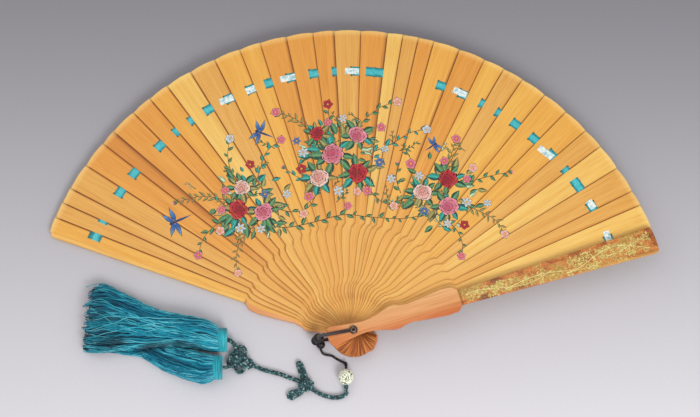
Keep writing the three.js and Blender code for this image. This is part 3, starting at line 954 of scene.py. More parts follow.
def off_next_edge(finish, place, number):
    """How far a place is from the edge of the stick or guard that lies on the stick."""
    onward = STICK_ANGLES[number] if number < STICK_COUNT else FRONT_ANGLE
    run, left, _ = finish.axes(finish.along(place, onward))
    if number < STICK_COUNT:
        start, end, most = -16, 212, 12
        curve = finish.node("FloatCurve", {"Value": finish.fade(run, start, end)})
        points = curve.mapping.curves[0].points
        outline = [*STICK_WAIST, BLADE_TIP]
        while len(points) < len(outline):
            points.new(0.5, 0.5)
        for point, (at, half) in zip(points, outline):
            point.location = ((at - start) / (end - start), half / most)
            point.handle_type = "AUTO_CLAMPED" if at < BLADE_START[0] - 1 else "VECTOR"
        curve.mapping.update()
        edge = finish.times(curve.outputs[0], most * MM)
    else:
        at_start = GUARD_BLADE_START[1] - GUARD_SLOPE * GUARD_BLADE_START[0]
        edge = finish.math("MULTIPLY_ADD", run, GUARD_SLOPE, at_start * MM)
    outward = finish.times(left, finish.math("SIGN", run))
    return finish.math("ABSOLUTE", finish.math("SUBTRACT", outward, edge))


def stick_finish(number):
    """Straight-grained honey wood, with painted shade and a thin dark line of painted shadow and grime along the
    edge of the stick that lies on it, and painted highlights at its tip.
    """
    wood = WOODS[STICK_WOODS[number - 1]]
    last = number == STICK_COUNT
    finish = Finish(f"honey_wood_{number:02d}", Roughness=0.5)
    place = finish.place()
    lie = finish.along(place, STICK_ANGLES[number - 1])
    run, *_ = finish.axes(lie)
    streak = finish.streaks(lie, (9, 300, 40), 2, shift=(number * 7.3, number * 3.1, 0))
    grain = finish.streaks(lie, (42, 2600, 300), 4, 0.65, (number * 2.9, number * 5.7, 0))
    tone = finish.ramp(
        streak, (0.3, shaded(wood, (0.965, 0.92, 0.84))), (0.5, wood),
        (0.72, shaded(wood, (1.02, 1.04, 1.08))),
    )
    aged = finish.fade(run, 120, 205, 0, 0.55)
    tone = finish.mix(aged, tone, shaded(wood, (0.98, 0.93, 0.78)))
    handle = finish.fade(run, 105, 68, 0, 0.72)
    tone = finish.mix(handle, tone, (231, 176, 94))
    lines = finish.ramp(grain, (0.34, (234, 212, 184)), (0.46, (250, 244, 236)), (0.6, (255, 255, 255)))
    tone = finish.tinted(tone, lines)

    upward = finish.upward()
    under = finish.part(upward, 0.6, 0.3, 0, 20 * MM)
    off = finish.math("ADD", off_next_edge(finish, place, number), under)
    foot = finish.fade(run, 6, -2)
    ends = finish.streaks(lie, (20, 700, 60), 3, 0.6, (number * 1.7, 0, 0))
    tone = finish.mix(foot, tone, finish.ramp(
        ends, (0.36, (104, 42, 16)), (0.47, (176, 92, 36)), (0.55, (206, 124, 54)),
        (0.66, (240, 168, 88)),
    ))
    # Painted shade beside the edge of the stick or guard that lies on this one
    contact_shade = finish.times(finish.fade(off, 1.9, 0.5, 0, 0.1 if last else 0.42),
                        finish.fade(run, 60, 100, 0.4, 1.0))
    tone = finish.mix(contact_shade, tone, (190, 110, 20))
    # A broad painted shadow beside that edge on some sticks
    if number in SHADOWED_STICKS:
        band = finish.times(finish.fade(off, SHADOWED_STICKS[number], 0.5, 0, 0.75),
                            finish.fade(run, 85, 130))
        tone = finish.mix(band, tone, (140, 76, 28))

    # A thin dark line along the edge that lies on the stick: painted shadow, with grime in the joint
    uneven = finish.part(finish.streaks(lie, (25, 60, 60), 2), 0.3, 0.6, 0.55, 1.0)
    at_blade = finish.fade(run, 70, 115, 0.34 if number < 10 else 0.17, 1.0)
    at_foot = finish.math("MAXIMUM", foot, finish.fade(run, 44, 24, 0, 0.34))
    faint = finish.math("MAXIMUM", at_blade, at_foot)
    wide = 0.5 if last else 1.05 if number < 12 else 0.78
    fades = finish.fade(run, 140, 205, wide * MM, (wide + 0.3) * MM)
    shadow_and_grime_line = finish.math("DIVIDE", finish.math("SUBTRACT", fades, off), 0.55 * MM)
    shadow_and_grime_line = finish.times(shadow_and_grime_line, finish.times(uneven, faint))
    tone = finish.mix(shadow_and_grime_line, tone, (126, 66, 2))
    # Painted highlights: on the side faces at the tip, and fainter along the top of the tip
    side = finish.part(finish.math("ABSOLUTE", upward), 0.6, 0.4)
    tip_highlight = finish.times(side, finish.fade(run, 209, 211))
    tone = finish.mix(tip_highlight, tone, (252, 236, 196))
    tone = finish.mix(finish.fade(run, 208.5, 212, 0, 0.4), tone, (250, 218, 140))
    finish.colour(tone)
    finish.feed("Roughness", finish.part(grain, 0.3, 0.7, 0.44, 0.6))
    finish.bump(grain, 0.035, 0.6)
    return finish


def dress_sticks():
    for number in range(1, STICK_COUNT + 1):
        mesh = frame["nodes"][f"stick_{number:02d}"].data
        mesh.materials.clear()
        mesh.materials.append(stick_finish(number).material)


# Guards, rivet and bail


def guard_finish(name, angle, flip):
    """A salmon-tan handle with painted light and shade across it and, past the groove, a blade whose outer face
    has an orange-red ground.
    """
    finish = Finish(name, Roughness=0.42, Coat_Weight=0.15, Coat_Roughness=0.3)
    lie = finish.along(finish.place(), angle)
    run, left, _ = finish.axes(lie)
    left = finish.times(left, flip)
    grain = finish.streaks(lie, (30, 1500, 200), 4, 0.6)
    streak = finish.streaks(lie, (14, 160, 60), 3)
    handle = finish.ramp(
        streak, (0.3, (213, 144, 84)), (0.5, (223, 158, 100)), (0.7, (232, 174, 118))
    )
    # Painted light and shade across the rounded handle: a painted highlight towards one long edge and painted
    # shade towards the other, the shade fainter on the rear guard
    handle = finish.mix(finish.fade(left, 0, 7, 0, 0.6), handle, (238, 184, 128))
    low = finish.fade(left, -1, -7, 0, 0.95 if flip > 0 else 0.2)
    handle = finish.mix(low, handle, (196, 104, 44))
    foot = finish.fade(run, 2, -12, 0, 0.75)
    handle = finish.mix(foot, handle, (200, 112, 50))

    patches = finish.streaks(lie, (60, 140, 60), 3)
    ground = finish.ramp(
        patches, (0.34, (124, 56, 16)), (0.44, (176, 86, 26)), (0.53, (208, 110, 42)),
        (0.63, (166, 120, 50)),
    )
    speckle = finish.streaks(lie, (1300, 1500, 1500), 2)
    dust = finish.times(finish.part(speckle, 0.46, 0.58), finish.part(patches, 0.4, 0.56, 0.2, 0.9))
    ground = finish.mix(dust, ground, (206, 172, 88))
    below = finish.fade(left, -6.5, -8.5, 0, 0.8)
    ground = finish.mix(below, ground, (214, 158, 78))
    inner = finish.part(finish.upward(), *((-0.6, -0.9) if flip > 0 else (-0.9, -0.6)))
    ground = finish.mix(inner, ground, (236, 184, 92))

    tone = finish.mix(finish.fade(run, 72.9, 73.3), handle, ground)
    groove = finish.times(finish.fade(run, 72.5, 72.9), finish.fade(run, 74.5, 74.1))
    tone = finish.mix(finish.times(groove, 0.5), tone, (136, 70, 30))
    lines = finish.ramp(grain, (0.34, (236, 222, 204)), (0.5, (252, 249, 245)), (0.64, (255, 255, 255)))
    finish.colour(finish.tinted(tone, lines))
    finish.feed("Roughness", finish.part(grain, 0.3, 0.7, 0.36, 0.52))
    finish.bump(grain, 0.03, 0.5)
    return finish


def dress_guards():
    for name, node, body, angle, flip in (
        ("front_guard_wood", "front_guard", "front_side", FRONT_ANGLE, 1),
        ("rear_guard_wood", "rear_guard", "rear_side", REAR_ANGLE, -1),
    ):
        bm = merged_copy(node)
        for near, far, radius in ((16, 18, 2.4), (205, 215, 2.2)):
            round_edges(bm, radius, 4, edges=[
                e for e in bm.edges
                if abs((e.verts[0].co - e.verts[1].co).normalized().z) > 0.9
                and near * MM < e.verts[0].co.to_2d().length < far * MM
                and len(e.link_faces) == 2 and e.calc_face_angle() > radians(30)
            ])
        round_edges(bm, 0.55)
        wood = guard_finish(f"{name}_finish", angle, flip)
        settled(shape(name, bm, wood, smooth=35), body, "guard", node)


def dress_rivet():
    metal = Finish("dark_rivet_metal", Metallic=0.7, Roughness=0.35)
    place = metal.place()
    spots = metal.noise(place, 1500, 3)
    rim = metal.ramp(spots, (0.35, (92, 70, 62)), (0.6, (130, 104, 92)), (0.75, (176, 152, 138)))
    middle = metal.fade(metal.away(place), 1.05, 0.9)
    metal.colour(metal.mix(middle, rim, (34, 22, 20)))
    metal.feed("Roughness", metal.part(spots, 0.3, 0.7, 0.25, 0.5))
    metal.bump(spots, 0.02)
    low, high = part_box("rivet")
    bottom, top = low.z / MM, high.z / MM
    outline = [
        (bottom, 0.0), (bottom, 1.1), (bottom + 0.1, 1.6), (bottom + 0.32, 1.88), (bottom + 0.6, 1.9),
        (bottom + 0.6, 1.4), (top - 0.6, 1.4), (top - 0.6, 1.9), (top - 0.32, 1.88), (top - 0.1, 1.6),
        (top - 0.02, 1.15), (top - 0.16, 0.95), (top - 0.18, 0.0),
    ]
    rivet = shape("turned_rivet", spun(outline, (0, 0, 0), (0, 0, 1), 48), metal, smooth=40)
    settled(rivet, "rear_side", "rivet", "rivet")


def dress_bail():
    horn = Finish("dark_polished_horn", Roughness=0.2, Coat_Weight=0.4, Coat_Roughness=0.15)
    cloud = horn.streaks(horn.place(), (120, 500, 500), 4)
    horn.colour(horn.ramp(
        cloud, (0.3, (24, 13, 14)), (0.55, (50, 28, 27)), (0.75, (98, 64, 56))
    ))
    horn.feed("Roughness", horn.part(cloud, 0.3, 0.7, 0.16, 0.34))
    horn.bump(cloud, 0.03)
    bm = merged_copy("bail")
    for vert in bm.verts:
        # The rear arm clears the slope of the guard's foot as it swings
        if 1.4 * MM < vert.co.z < 1.6 * MM:
            vert.co.z -= 0.06 * MM
    round_edges(bm, 0.3)
    parts = [bm]
    for level in (0.75, 22.3):
        ring = [Vector((2.3 * cos(a), 2.3 * sin(a), level)) for a in round_angles(40, closed=True)]
        parts.append(threads([ring], 0.85, roundness=3))
    bail = shape("polished_bail", joined(*parts), horn, smooth=40)
    settled(bail, "bail_side", "bail", "bail")


# Ribbon

# Pale patches and loose strips by stick: middle, length, width, skew of a patch, and shift outward
PATCHED = {
    11: (-1.6, 9.8, 4.6, -5, 0), 12: (-3.6, 6.8, 4.6, 1, -0.3), 14: (-2.2, 11.6, 4.4, -1, 0),
    17: (-1.4, 9.6, 4.4, -2, 0), 23: (-1.4, 10.0, 4.6, -2, 0.4), 28: (0.0, 11.5, 4.6, 8, -1.8),
    31: (-2.4, 6.2, 4.6, 4, 0.4), 33: (-0.8, 6.8, 4.2, -4, 0),
}
LOOSE = {
    1: (0.6, 8.6, 9.0, 0.5), 2: (-2.0, 7.6, 6.8, 0), 13: (-1.0, 6.4, 6.8, 0),
    18: (-1.2, 12.6, 6.8, 0), 30: (-1.8, 8.2, 6.8, 0),
}


def ribbon_finish():
    finish = Finish("cyan_silk_ribbon", Roughness=0.4, Sheen_Weight=0.3, Sheen_Roughness=0.3)
    place = finish.place()
    off = finish.math("ABSOLUTE", finish.math("SUBTRACT", finish.away(place), RIBBON_AT * MM))
    rims = finish.fade(off, 1.2, 3.3, -0.24, 0.42)
    tone = finish.ramp(
        finish.math("MULTIPLY_ADD", finish.noise(place, 420, 2), 0.8, rims),
        (0.0, (92, 204, 206)), (0.35, (50, 176, 188)), (0.6, (30, 142, 146)),
        (0.95, (26, 92, 84)),
    )
    weave = finish.noise(place, 2600, 2)
    lines = finish.ramp(weave, (0.32, (176, 206, 204)), (0.55, (255, 255, 255)))
    finish.colour(finish.tinted(tone, lines))
    finish.bump(weave, 0.03)
    return finish


def patch_finish():
    finish = Finish("silvered_patch_silk", Roughness=0.3, Sheen_Weight=0.3)
    weave = finish.noise(finish.place(), 620, 3)
    finish.colour(finish.ramp(
        weave, (0.32, (112, 178, 186)), (0.45, (194, 218, 220)), (0.6, (240, 243, 236))
    ))
    finish.bump(weave, 0.04)
    return finish


def strip(angle, profile, width, thickness, shift=0.0):
    """A band across a stick at the slit: the profile's (left, level) places, made a closed strip."""
    bm = bmesh.new()
    row = [bm.verts.new(turned(angle, RIBBON_AT - width / 2 + shift, v, z)) for v, z in profile]
    edges = [bm.edges.new(pair) for pair in zip(row, row[1:])]
    made = bmesh.ops.extrude_edge_only(bm, edges=edges)
    bmesh.ops.translate(bm, verts=new_verts(made), vec=turned(angle, width, 0, 0))
    face_outward(bm)
    bmesh.ops.solidify(bm, geom=bm.faces[:], thickness=thickness * MM)
    face_outward(bm)
    return bm


def lace_ribbon():
    silk = ribbon_finish()
    silvered = patch_finish()
    mid = (SLIT_LEFT + SLIT_RIGHT) / 2
    for number, angle in enumerate(STICK_ANGLES, 1):
        top = stick_top(number)
        low = top - STICK_THICKNESS
        raised = top + 0.03
        parts = [strip(angle, [
            (6.9, low - 0.012), (3.0, low - 0.012), (0.2, low - 0.012), (mid + 0.25, low + 0.03),
            (mid, low + 0.12), (mid, top - 0.12), (mid - 0.15, top - 0.02), (mid - 0.5, top + 0.026),
            (-3.2, raised), (-5.0, top + 0.028), (-6.9, top + 0.026),
        ], RIBBON_WIDTH, RIBBON_THICKNESS)]
        if number in LOOSE:
            middle, length, width, shift = LOOSE[number]
            near, far = middle + length / 2, middle - length / 2
            profile = [(near, raised + 0.008), (near - 0.6, raised + 0.016), (far, raised + 0.016)]
            parts.append(strip(angle, profile, width, 0.012, shift))
        lacing = shape(f"ribbon_at_stick_{number:02d}", joined(*parts), silk, smooth=50)
        settled(lacing, f"leaf_{number:02d}", "ribbon")
        if number in PATCHED:
            middle, length, width, skew, shift = PATCHED[number]
            half = length / 2
            profile = [(middle + half, raised + 0.03), (middle, raised + 0.034),
                       (middle - half, raised + 0.03)]
            bm = strip(angle, profile, width, 0.014, shift)
            swing(bm, skew, turned(angle, RIBBON_AT, middle, top))
            patch = shape(f"patch_on_stick_{number:02d}", bm, silvered)
            settled(patch, f"leaf_{number:02d}", "ribbon")
    for name, body, angle, profile, nodes in (
        ("ribbon_end_at_rear_guard", "rear_side", REAR_ANGLE,
         [(-3.6, 3.23), (0.5, 3.232), (3.4, 3.23)], ("ribbon",)),
        ("ribbon_end_at_front_guard", "front_side", FRONT_ANGLE,
         [(-3.4, 19.814), (0.5, 19.812), (6.4, 19.814)], ()),
    ):
        end = shape(name, strip(angle, profile, RIBBON_WIDTH, RIBBON_THICKNESS), silk)
        settled(end, body, "ribbon", *nodes)


# Painting

# A coat of paint, its steps, and how far the first one lies over the wood
COAT = 0.0075
COAT_STEPS = 12
OVER_STICK = 0.006
OVER_GUARD = 0.012
PAINTS = {
    "pink": ((206, 74, 110), (246, 170, 184)),
    "blush": ((232, 150, 140), (252, 228, 214)),
    "crimson": ((150, 14, 36), (222, 58, 66)),
    "white": ((176, 190, 206), (250, 248, 240)),
    "blue": ((40, 78, 150), (142, 184, 224)),
    "leaf": ((24, 70, 52), (78, 130, 86)),
    "olive": ((84, 82, 44), (146, 140, 80)),
    "teal": ((4, 84, 84), (34, 148, 134)),
    "sage": ((98, 130, 100), (176, 198, 160)),
    "stem": ((92, 54, 30), (128, 84, 46)),
    "gold": ((176, 140, 58), (226, 204, 116)),
}
ANY_HEADING = (0, 6.28)


def fan_spot(radius, angle):
    """A place on the open fan by its distance from the rivet and its angle."""
    return Vector((radius * cos(radians(angle)), radius * sin(radians(angle))))


def rounded(s):
    return sin(pi * (0.08 + 0.92 * s) ** 0.85) ** 0.6 if s < 1 else 0.0


def pointed(s):
    return sin(pi * s ** 0.8) if 0 < s < 1 else 0.0


class Brush:
    """Lays coats of paint, each a few thousandths of a millimetre over the last, on a plane."""

    def __init__(self, seed):
        self.finished = []
        self.start_batch()
        self.rng = random.Random(seed)
        self.laid = {}

    def start_batch(self):
        self.bm = bmesh.new()
        self.tint = self.bm.verts.layers.float_color.new("paint")

    def patch(self, cells, place, tone, coat):
        """A grid of cells, bent by place and coloured by tone from shares along and across."""
        if len(self.bm.verts) > 600:
            self.finished.append(self.bm)
            self.start_batch()
        grid = bmesh.ops.create_grid(self.bm, x_segments=cells[0], y_segments=cells[1], size=1)
        for vert in grid["verts"]:
            along, across = (vert.co.x + 1) / 2, vert.co.y
            spot = place(along, across)
            vert[self.tint] = tone(along, across)
            vert.co = Vector((spot[0] * MM, spot[1] * MM, 0))
        level = self.free_level(coat, [vert.co for vert in grid["verts"]])
        lift(self.bm, level, grid["verts"])

    def free_level(self, coat, places):
        """A level within the coat that no touch of paint near these places has yet."""
        middle = sum(places, Vector()) / len(places)
        reach = max((place - middle).length for place in places)
        others = self.laid.setdefault(coat, [])
        taken = {step for at, size, step in others if (at - middle).length < size + reach}
        step = next((k for k in range(COAT_STEPS) if k not in taken), len(others) % COAT_STEPS)
        others.append((middle, reach, step))
        return (coat + step / COAT_STEPS) * COAT

    def all_coats(self):
        whole = joined(*self.finished, self.bm)
        bmesh.ops.remove_doubles(whole, verts=whole.verts, dist=0.0002 * MM)
        return whole

    def petal(self, root, heading, length, width, paints, coat, form=rounded, cells=(4, 2)):
        ahead = toward(heading)
        left = Vector((-ahead.y, ahead.x))
        inner, outer = paint(*paints[0]), paint(*paints[1])
        self.patch(
            cells,
            lambda s, t: root + ahead * length * s * (1 - 0.1 * t * t)
            + left * width / 2 * t * form(s),
            lambda s, t: [a + (b - a) * min(1.0, s * s * (0.9 + 0.3 * abs(t)))
                          for a, b in zip(inner, outer)],
            coat,
        )

    def stem(self, spots, width, paints, coat):
        line = smooth_line([(*spot, 0) for spot in spots], 2.2)
        ends = list(zip([line[0], *line], [*line[1:], line[-1]]))
        tone = paint(*paints)

        def place(s, t):
            i = round(s * (len(line) - 1))
            ahead = (ends[i][1] - ends[i][0]).normalized()
            return line[i] + Vector((-ahead.y, ahead.x, 0)) * t * width / 2 * (1 - 0.45 * s)

        self.patch((len(line) - 1, 1), place, lambda s, t: tone, coat)
        return line

    def rosette(self, centre, radius, hue, coat=6):
        """A full round blossom in four rings of petals, palest at its rim and deepest inside."""
        inner, outer = PAINTS[hue]
        edge = shaded(inner, (0.62, 0.5, 0.55))
        lean = toward(self.rng.uniform(*ANY_HEADING)) * radius * 0.12
        rings = ((1.0, 7, 0.0), (0.76, 7, 0.5), (0.52, 5, 1.2), (0.3, 4, 1.8))
        for ring, (share, count, off) in enumerate(rings):
            spin = self.rng.uniform(*ANY_HEADING)
            light = 1.06 - 0.13 * ring
            rim = shaded(outer, (light, light, light))
            for k in range(count):
                heading = spin + 2 * pi * k / count + self.rng.uniform(-0.2, 0.2)
                length = radius * share * self.rng.uniform(0.84, 1.08)
                width = length * self.rng.uniform(0.92, 1.12)
                root = centre + lean * off
                low = coat + ring * 2
                self.petal(root, heading, length + 0.16, width + 0.3, (edge, edge), low, cells=(5, 4))
                self.petal(root, heading, length, width, (inner, rim), low + 1, cells=(5, 4))

    def blossom(self, centre, radius, hue, petals=5, form=rounded, coat=5):
        inner, outer = PAINTS[hue]
        edge = tuple(c * 0.5 for c in inner)
        spin = self.rng.uniform(*ANY_HEADING)
        wide = 0.85 if form is rounded else 0.42
        for k in range(petals):
            heading = spin + 2 * pi * k / petals
            self.petal(centre, heading, radius + 0.25, radius * wide + 0.4, (edge, edge), coat, form)
            self.petal(centre, heading, radius, radius * wide, (inner, outer), coat + 1, form)
        for k in range(3):
            heading = spin + 2.1 * k
            self.petal(centre, heading, radius * 0.24, radius * 0.3,
                       ((214, 160, 40), (236, 196, 80)), coat + 2, cells=(2, 2))

    def leaf(self, root, heading, length, hue="leaf", wide=0.42, coat=2):
        """A leaf in two tones with a pale rib, over a thin dark outline."""
        ahead = toward(heading)
        left = Vector((-ahead.y, ahead.x))
        bend = self.rng.uniform(-0.16, 0.16) * length
        dark, light = (paint(*c) for c in PAINTS[hue])
        ink = paint(*shaded(PAINTS[hue][0], (0.6, 0.5, 0.5)))
        rib = [min(1.0, c * 1.7 + 0.03) for c in light]

        def place(grow):
            return lambda s, t: root + ahead * (length + grow) * s + left * (
                (length * wide / 2 + grow) * t * pointed(s) + bend * s * s)

        self.patch((5, 2), place(0.16), lambda s, t: ink, coat)
        self.patch(
            (5, 4), place(0.0),
            lambda s, t: rib if abs(t) < 0.1 else dark if t > 0 else light, coat + 1,
        )

    def spray(self, spots, leaf_length, hue, ends=None, every=2, wide=0.4):
        """A stem with leaves to both sides and a bud or blossom at its end."""
        line = self.stem(spots, 0.65, PAINTS["stem"][self.rng.randint(0, 1)], 1)
        side = 1
        for i in range(1, len(line) - 1, every):
            ahead = line[i + 1] - line[i - 1]
            heading = atan2(ahead.y, ahead.x) + side * self.rng.uniform(0.5, 1.0)
            length = leaf_length * self.rng.uniform(0.7, 1.15) * (1 - 0.35 * i / len(line))
            self.leaf(line[i].to_2d(), heading, length, hue, wide)
            side = -side
        if ends:
            kind, radius = ends
            tip = line[-1].to_2d()
            if kind == "bud":
                ahead = line[-1] - line[-2]
                heading = atan2(ahead.y, ahead.x)
                self.petal(tip, heading, radius * 1.6, radius, PAINTS["pink"], 4)
                self.leaf(tip, heading + 0.5, radius * 1.1, "leaf", 0.4, 5)
                self.leaf(tip, heading - 0.5, radius * 1.1, "leaf", 0.4, 5)
            else:
                self.blossom(tip, radius, kind)

    def dragonfly(self, centre, heading, length):
        """A small dragonfly: a thin body and four pale wings."""
        ahead = toward(heading)
        for lean, share in ((0.95, 0.62), (1.55, 0.66)):
            for way in (1, -1):
                wing = heading + way * lean
                root = centre + ahead * length * (0.16 if lean < 1 else 0.1)
                self.petal(root, wing, length * share + 0.3, length * 0.2,
                           ((30, 50, 96), (30, 50, 96)), 4, pointed)
                self.petal(root, wing, length * share, length * 0.15,
                           ((20, 84, 158), (126, 178, 222)), 5, pointed)
        self.petal(centre + ahead * length * 0.34, heading + pi, length, length * 0.1,
                   ((24, 40, 84), (40, 100, 170)), 6, pointed)
        self.petal(centre + ahead * length * 0.24, heading, length * 0.14, length * 0.13,
                   ((20, 30, 60), (50, 90, 140)), 7)


# The garland's places are given as a distance from the rivet and an angle
ARCHES = (
    ((106, 124), (92, 117), (90, 109), (101, 103), (112, 99)),
    ((112, 88), (96, 82), (90, 75), (96, 68), (106, 62)),
    ((96, 130), (84, 122), (79, 108), (80, 94), (79, 80), (84, 66), (96, 57)),
)
# Places along a spray, the length and hue of its leaves, and what it ends in
SPRAYS = (
    (((112, 132), (126, 134), (138, 138), (147, 143)), 6.5, "olive", ("bud", 2.6)),
    (((110, 133), (116, 140), (118, 147), (115, 153)), 6.0, "leaf", ("pink", 3.4)),
    (((98, 131), (97, 140), (92, 147), (86, 152)), 5.5, "olive", ("blush", 3.0)),
    (((120, 128), (134, 127), (147, 125), (157, 122)), 6.5, "leaf", ("white", 3.6)),
    (((118, 124), (128, 119), (137, 115), (141, 110)), 6.0, "teal", ("pink", 3.4)),
    (((130, 98), (143, 102), (153, 105), (161, 109)), 6.5, "olive", ("pink", 3.6)),
    (((132, 95), (147, 96), (159, 96)), 7.0, "leaf", ("crimson", 3.8)),
    (((132, 90), (146, 87), (157, 83), (163, 79)), 6.5, "leaf", ("blush", 3.6)),
    (((124, 84), (133, 78), (143, 74), (149, 70)), 6.0, "teal", ("white", 3.6)),
    (((124, 60), (138, 61), (151, 62)), 6.5, "olive", ("pink", 3.6)),
    (((122, 55), (134, 51), (145, 48), (152, 46)), 6.5, "leaf", ("bud", 2.6)),
    (((112, 51), (118, 44), (122, 38), (121, 33)), 6.0, "olive", ("blush", 3.4)),
    (((98, 55), (98, 46), (94, 39), (88, 35)), 5.5, "leaf", ("pink", 3.2)),
    (((106, 103), (112, 109), (121, 112)), 5.5, "teal", ("bud", 2.4)),
    (((100, 71), (108, 74), (118, 75)), 5.5, "leaf", ("bud", 2.4)),
)
# The middle of each bouquet, and the place, size and hue of its blooms
BOUQUETS = (
    ((111, 129), (
        ((113, 132.5), 7.6, "crimson"), ((101, 126), 7.2, "pink"), ((124, 127), 6.6, "blush"))),
    ((121, 94), (
        ((108, 102), 8.0, "blush"), ((109, 88), 7.6, "crimson"), ((123, 96), 9.4, "pink"),
        ((136, 88.5), 7.2, "pink"), ((139, 100), 5.8, "crimson"))),
    ((112, 58), (
        ((106, 63.5), 7.0, "blush"), ((107, 53), 7.4, "pink"), ((123, 58.5), 7.8, "crimson"))),
)
# Place, size and hue of each small blossom
BLOSSOMS = (
    ((103, 136.5), 4.2, "white"), ((93, 131), 3.8, "white"), ((121, 136.5), 3.4, "pink"),
    ((111, 122), 3.6, "blue"), ((129, 131.5), 3.2, "pink"),
    ((128, 105), 4.4, "white"), ((97, 95.5), 4.4, "white"), ((118, 81), 4.4, "blue"),
    ((148, 92.5), 3.6, "white"), ((97, 107.5), 3.8, "pink"), ((128, 80), 3.4, "white"),
    ((97, 84), 3.6, "pink"), ((146, 96.5), 3.2, "pink"),
    ((117, 49), 4.2, "white"), ((95, 59.5), 4.0, "blue"), ((116, 67), 3.8, "white"),
    ((133, 62), 3.4, "pink"), ((97, 49), 3.6, "white"), ((130, 53.5), 3.2, "pink"),
    ((90, 72), 3.4, "blush"), ((87, 112), 3.4, "blush"), ((137, 106), 3.4, "blue"),
    ((143, 82), 3.6, "pink"), ((117, 107), 4.0, "crimson"), ((104, 115), 3.8, "white"),
    ((122, 71), 4.2, "pink"), ((134, 121), 3.6, "crimson"), ((96, 88), 3.4, "blush"),
    ((108, 76), 4.0, "white"), ((86, 92), 3.2, "pink"), ((112, 142), 3.6, "blush"),
    ((126, 44), 3.4, "white"), ((104, 44), 3.6, "crimson"), ((139, 54), 3.6, "blush"),
)
# Place, heading and length of each dragonfly
DRAGONFLIES = (((150, 114), 160, 15), ((139, 67), 35, 11), ((139, 147), 205, 17))


def paint_garland():
    """Three bouquets joined by arching stems, with loose sprays and a few dragonflies."""
    brush = Brush(23)
    rng = brush.rng
    loose_sprays, small_leaves, long_leaves, leaves_at_bloom = 46, 34, 9, 8

    def spots(*pairs):
        return [fan_spot(*pair) for pair in pairs]

    for _ in range(loose_sprays):
        root = fan_spot(rng.uniform(88, 148), rng.uniform(48, 142))
        tip = root + toward(rng.uniform(0.3, 2.8)) * rng.uniform(8, 15)
        bend = (root + tip) / 2 + Vector((rng.uniform(-2, 2), rng.uniform(-2, 2)))
        brush.spray((root, bend, tip), rng.uniform(3.0, 4.4), rng.choice(("sage", "olive", "leaf")),
                    every=1, wide=rng.choice((0.26, 0.4)))
    for route in ARCHES:
        brush.spray(spots(*route), 6.5, "leaf", every=2)
    for route, length, hue, ends in SPRAYS:
        every, wide = (1, 0.26) if hue == "olive" else (2, 0.42)
        brush.spray(spots(*route), length, hue, ends, every, wide)
    for middle, blooms in BOUQUETS:
        middle = fan_spot(*middle)
        for _ in range(small_leaves):
            heading = rng.uniform(*ANY_HEADING)
            off = Vector((cos(heading), sin(heading) * 0.9)) * rng.uniform(12, 27)
            brush.leaf(middle + off, heading + rng.uniform(-0.9, 0.9), rng.uniform(4.0, 7.5),
                       rng.choice(("leaf", "leaf", "teal", "olive", "sage")), 0.44, 2)
        for spot, size, _ in blooms:
            centre = fan_spot(*spot)
            for even in round_angles(leaves_at_bloom):
                heading = even + rng.uniform(-0.3, 0.3)
                root = centre + toward(heading) * size * 0.6
                kind = rng.choice(("leaf", "leaf", "teal", "olive"))
                brush.leaf(root, heading, size * rng.uniform(0.9, 1.35), kind, 0.5, 3)
        for _ in range(long_leaves):
            heading = rng.uniform(*ANY_HEADING)
            root = middle + toward(heading) * rng.uniform(10, 19)
            brush.leaf(root, heading + rng.uniform(-0.5, 0.5), rng.uniform(7, 11),
                       rng.choice(("teal", "leaf", "olive")), 0.46, 2)
    for _, blooms in BOUQUETS:
        for spot, size, hue in blooms:
            brush.rosette(fan_spot(*spot), size, hue)
    for spot, size, hue in BLOSSOMS:
        petals, form = (6, pointed) if hue in ("white", "blue") else (5, rounded)
        brush.blossom(fan_spot(*spot), size, hue, petals, form)
    for spot, heading, length in DRAGONFLIES:
        brush.dragonfly(fan_spot(*spot), radians(heading), length)
    return brush.all_coats()


def paint_finish(name, roughness):
    finish = Finish(name, Roughness=roughness)
    tone = finish.node("VertexColor", layer_name="paint").outputs["Color"]
    mottle = finish.noise(finish.place(), 1100, 3)
    shade = finish.ramp(mottle, (0.32, (208, 204, 196)), (0.55, (250, 250, 248)), (0.7, (255, 255, 255)))
    finish.colour(finish.tinted(tone, shade))
    finish.bump(mottle, 0.02)
    return finish


def edge_of(angle, start, tip):
    """A point on the left edge line of a blade and the direction that points left of it."""
    a, b = turned(angle, *start, 0), turned(angle, *tip, 0)
    ahead = (b - a).normalized()
    return a, Vector((-ahead.y, ahead.x, 0))


def cut_away(bm, point, side):
    """Removes what lies past the point to that side."""
    bmesh.ops.bisect_plane(
        bm, geom=bm.verts[:] + bm.edges[:] + bm.faces[:], plane_co=point, plane_no=side,
        clear_outer=True,
    )


def lay_paint_on_sticks():
    """Each stick gets its own share of the garland, cut at its left edge and at the next stick."""
    garland = paint_garland()
    finish = paint_finish("garland_paint", 0.5)
    for number, angle in enumerate(STICK_ANGLES, 1):
        point, left = edge_of(angle, BLADE_START, BLADE_TIP)
        cut_away(garland, point - left * 0.12 * MM, left)
        share = garland.copy()
        if number < STICK_COUNT:
            point, left = edge_of(STICK_ANGLES[number], BLADE_START, BLADE_TIP)
        else:
            point, left = edge_of(FRONT_ANGLE, GUARD_BLADE_START, GUARD_TIP)
        cut_away(share, point, -left)
        if not share.faces:
            share.free()
            continue
        lift(share, stick_top(number) + OVER_STICK)
        close_paint(share)
        coat = shape(f"garland_on_stick_{number:02d}", share, finish)
        settled(coat, f"leaf_{number:02d}", "stick")
    garland.free()


def close_paint(bm, thickness=0.004):
    """Gives flat paint that faces up its thickness, so that each touch is a closed form."""
    for face in bm.faces:
        if face.normal.z < 0:
            face.normal_flip()
    top = bm.faces[:]
    made = bmesh.ops.extrude_face_region(bm, geom=top, use_keep_orig=True)
    lift(bm, -thickness, new_verts(made))
    face_outward(bm)


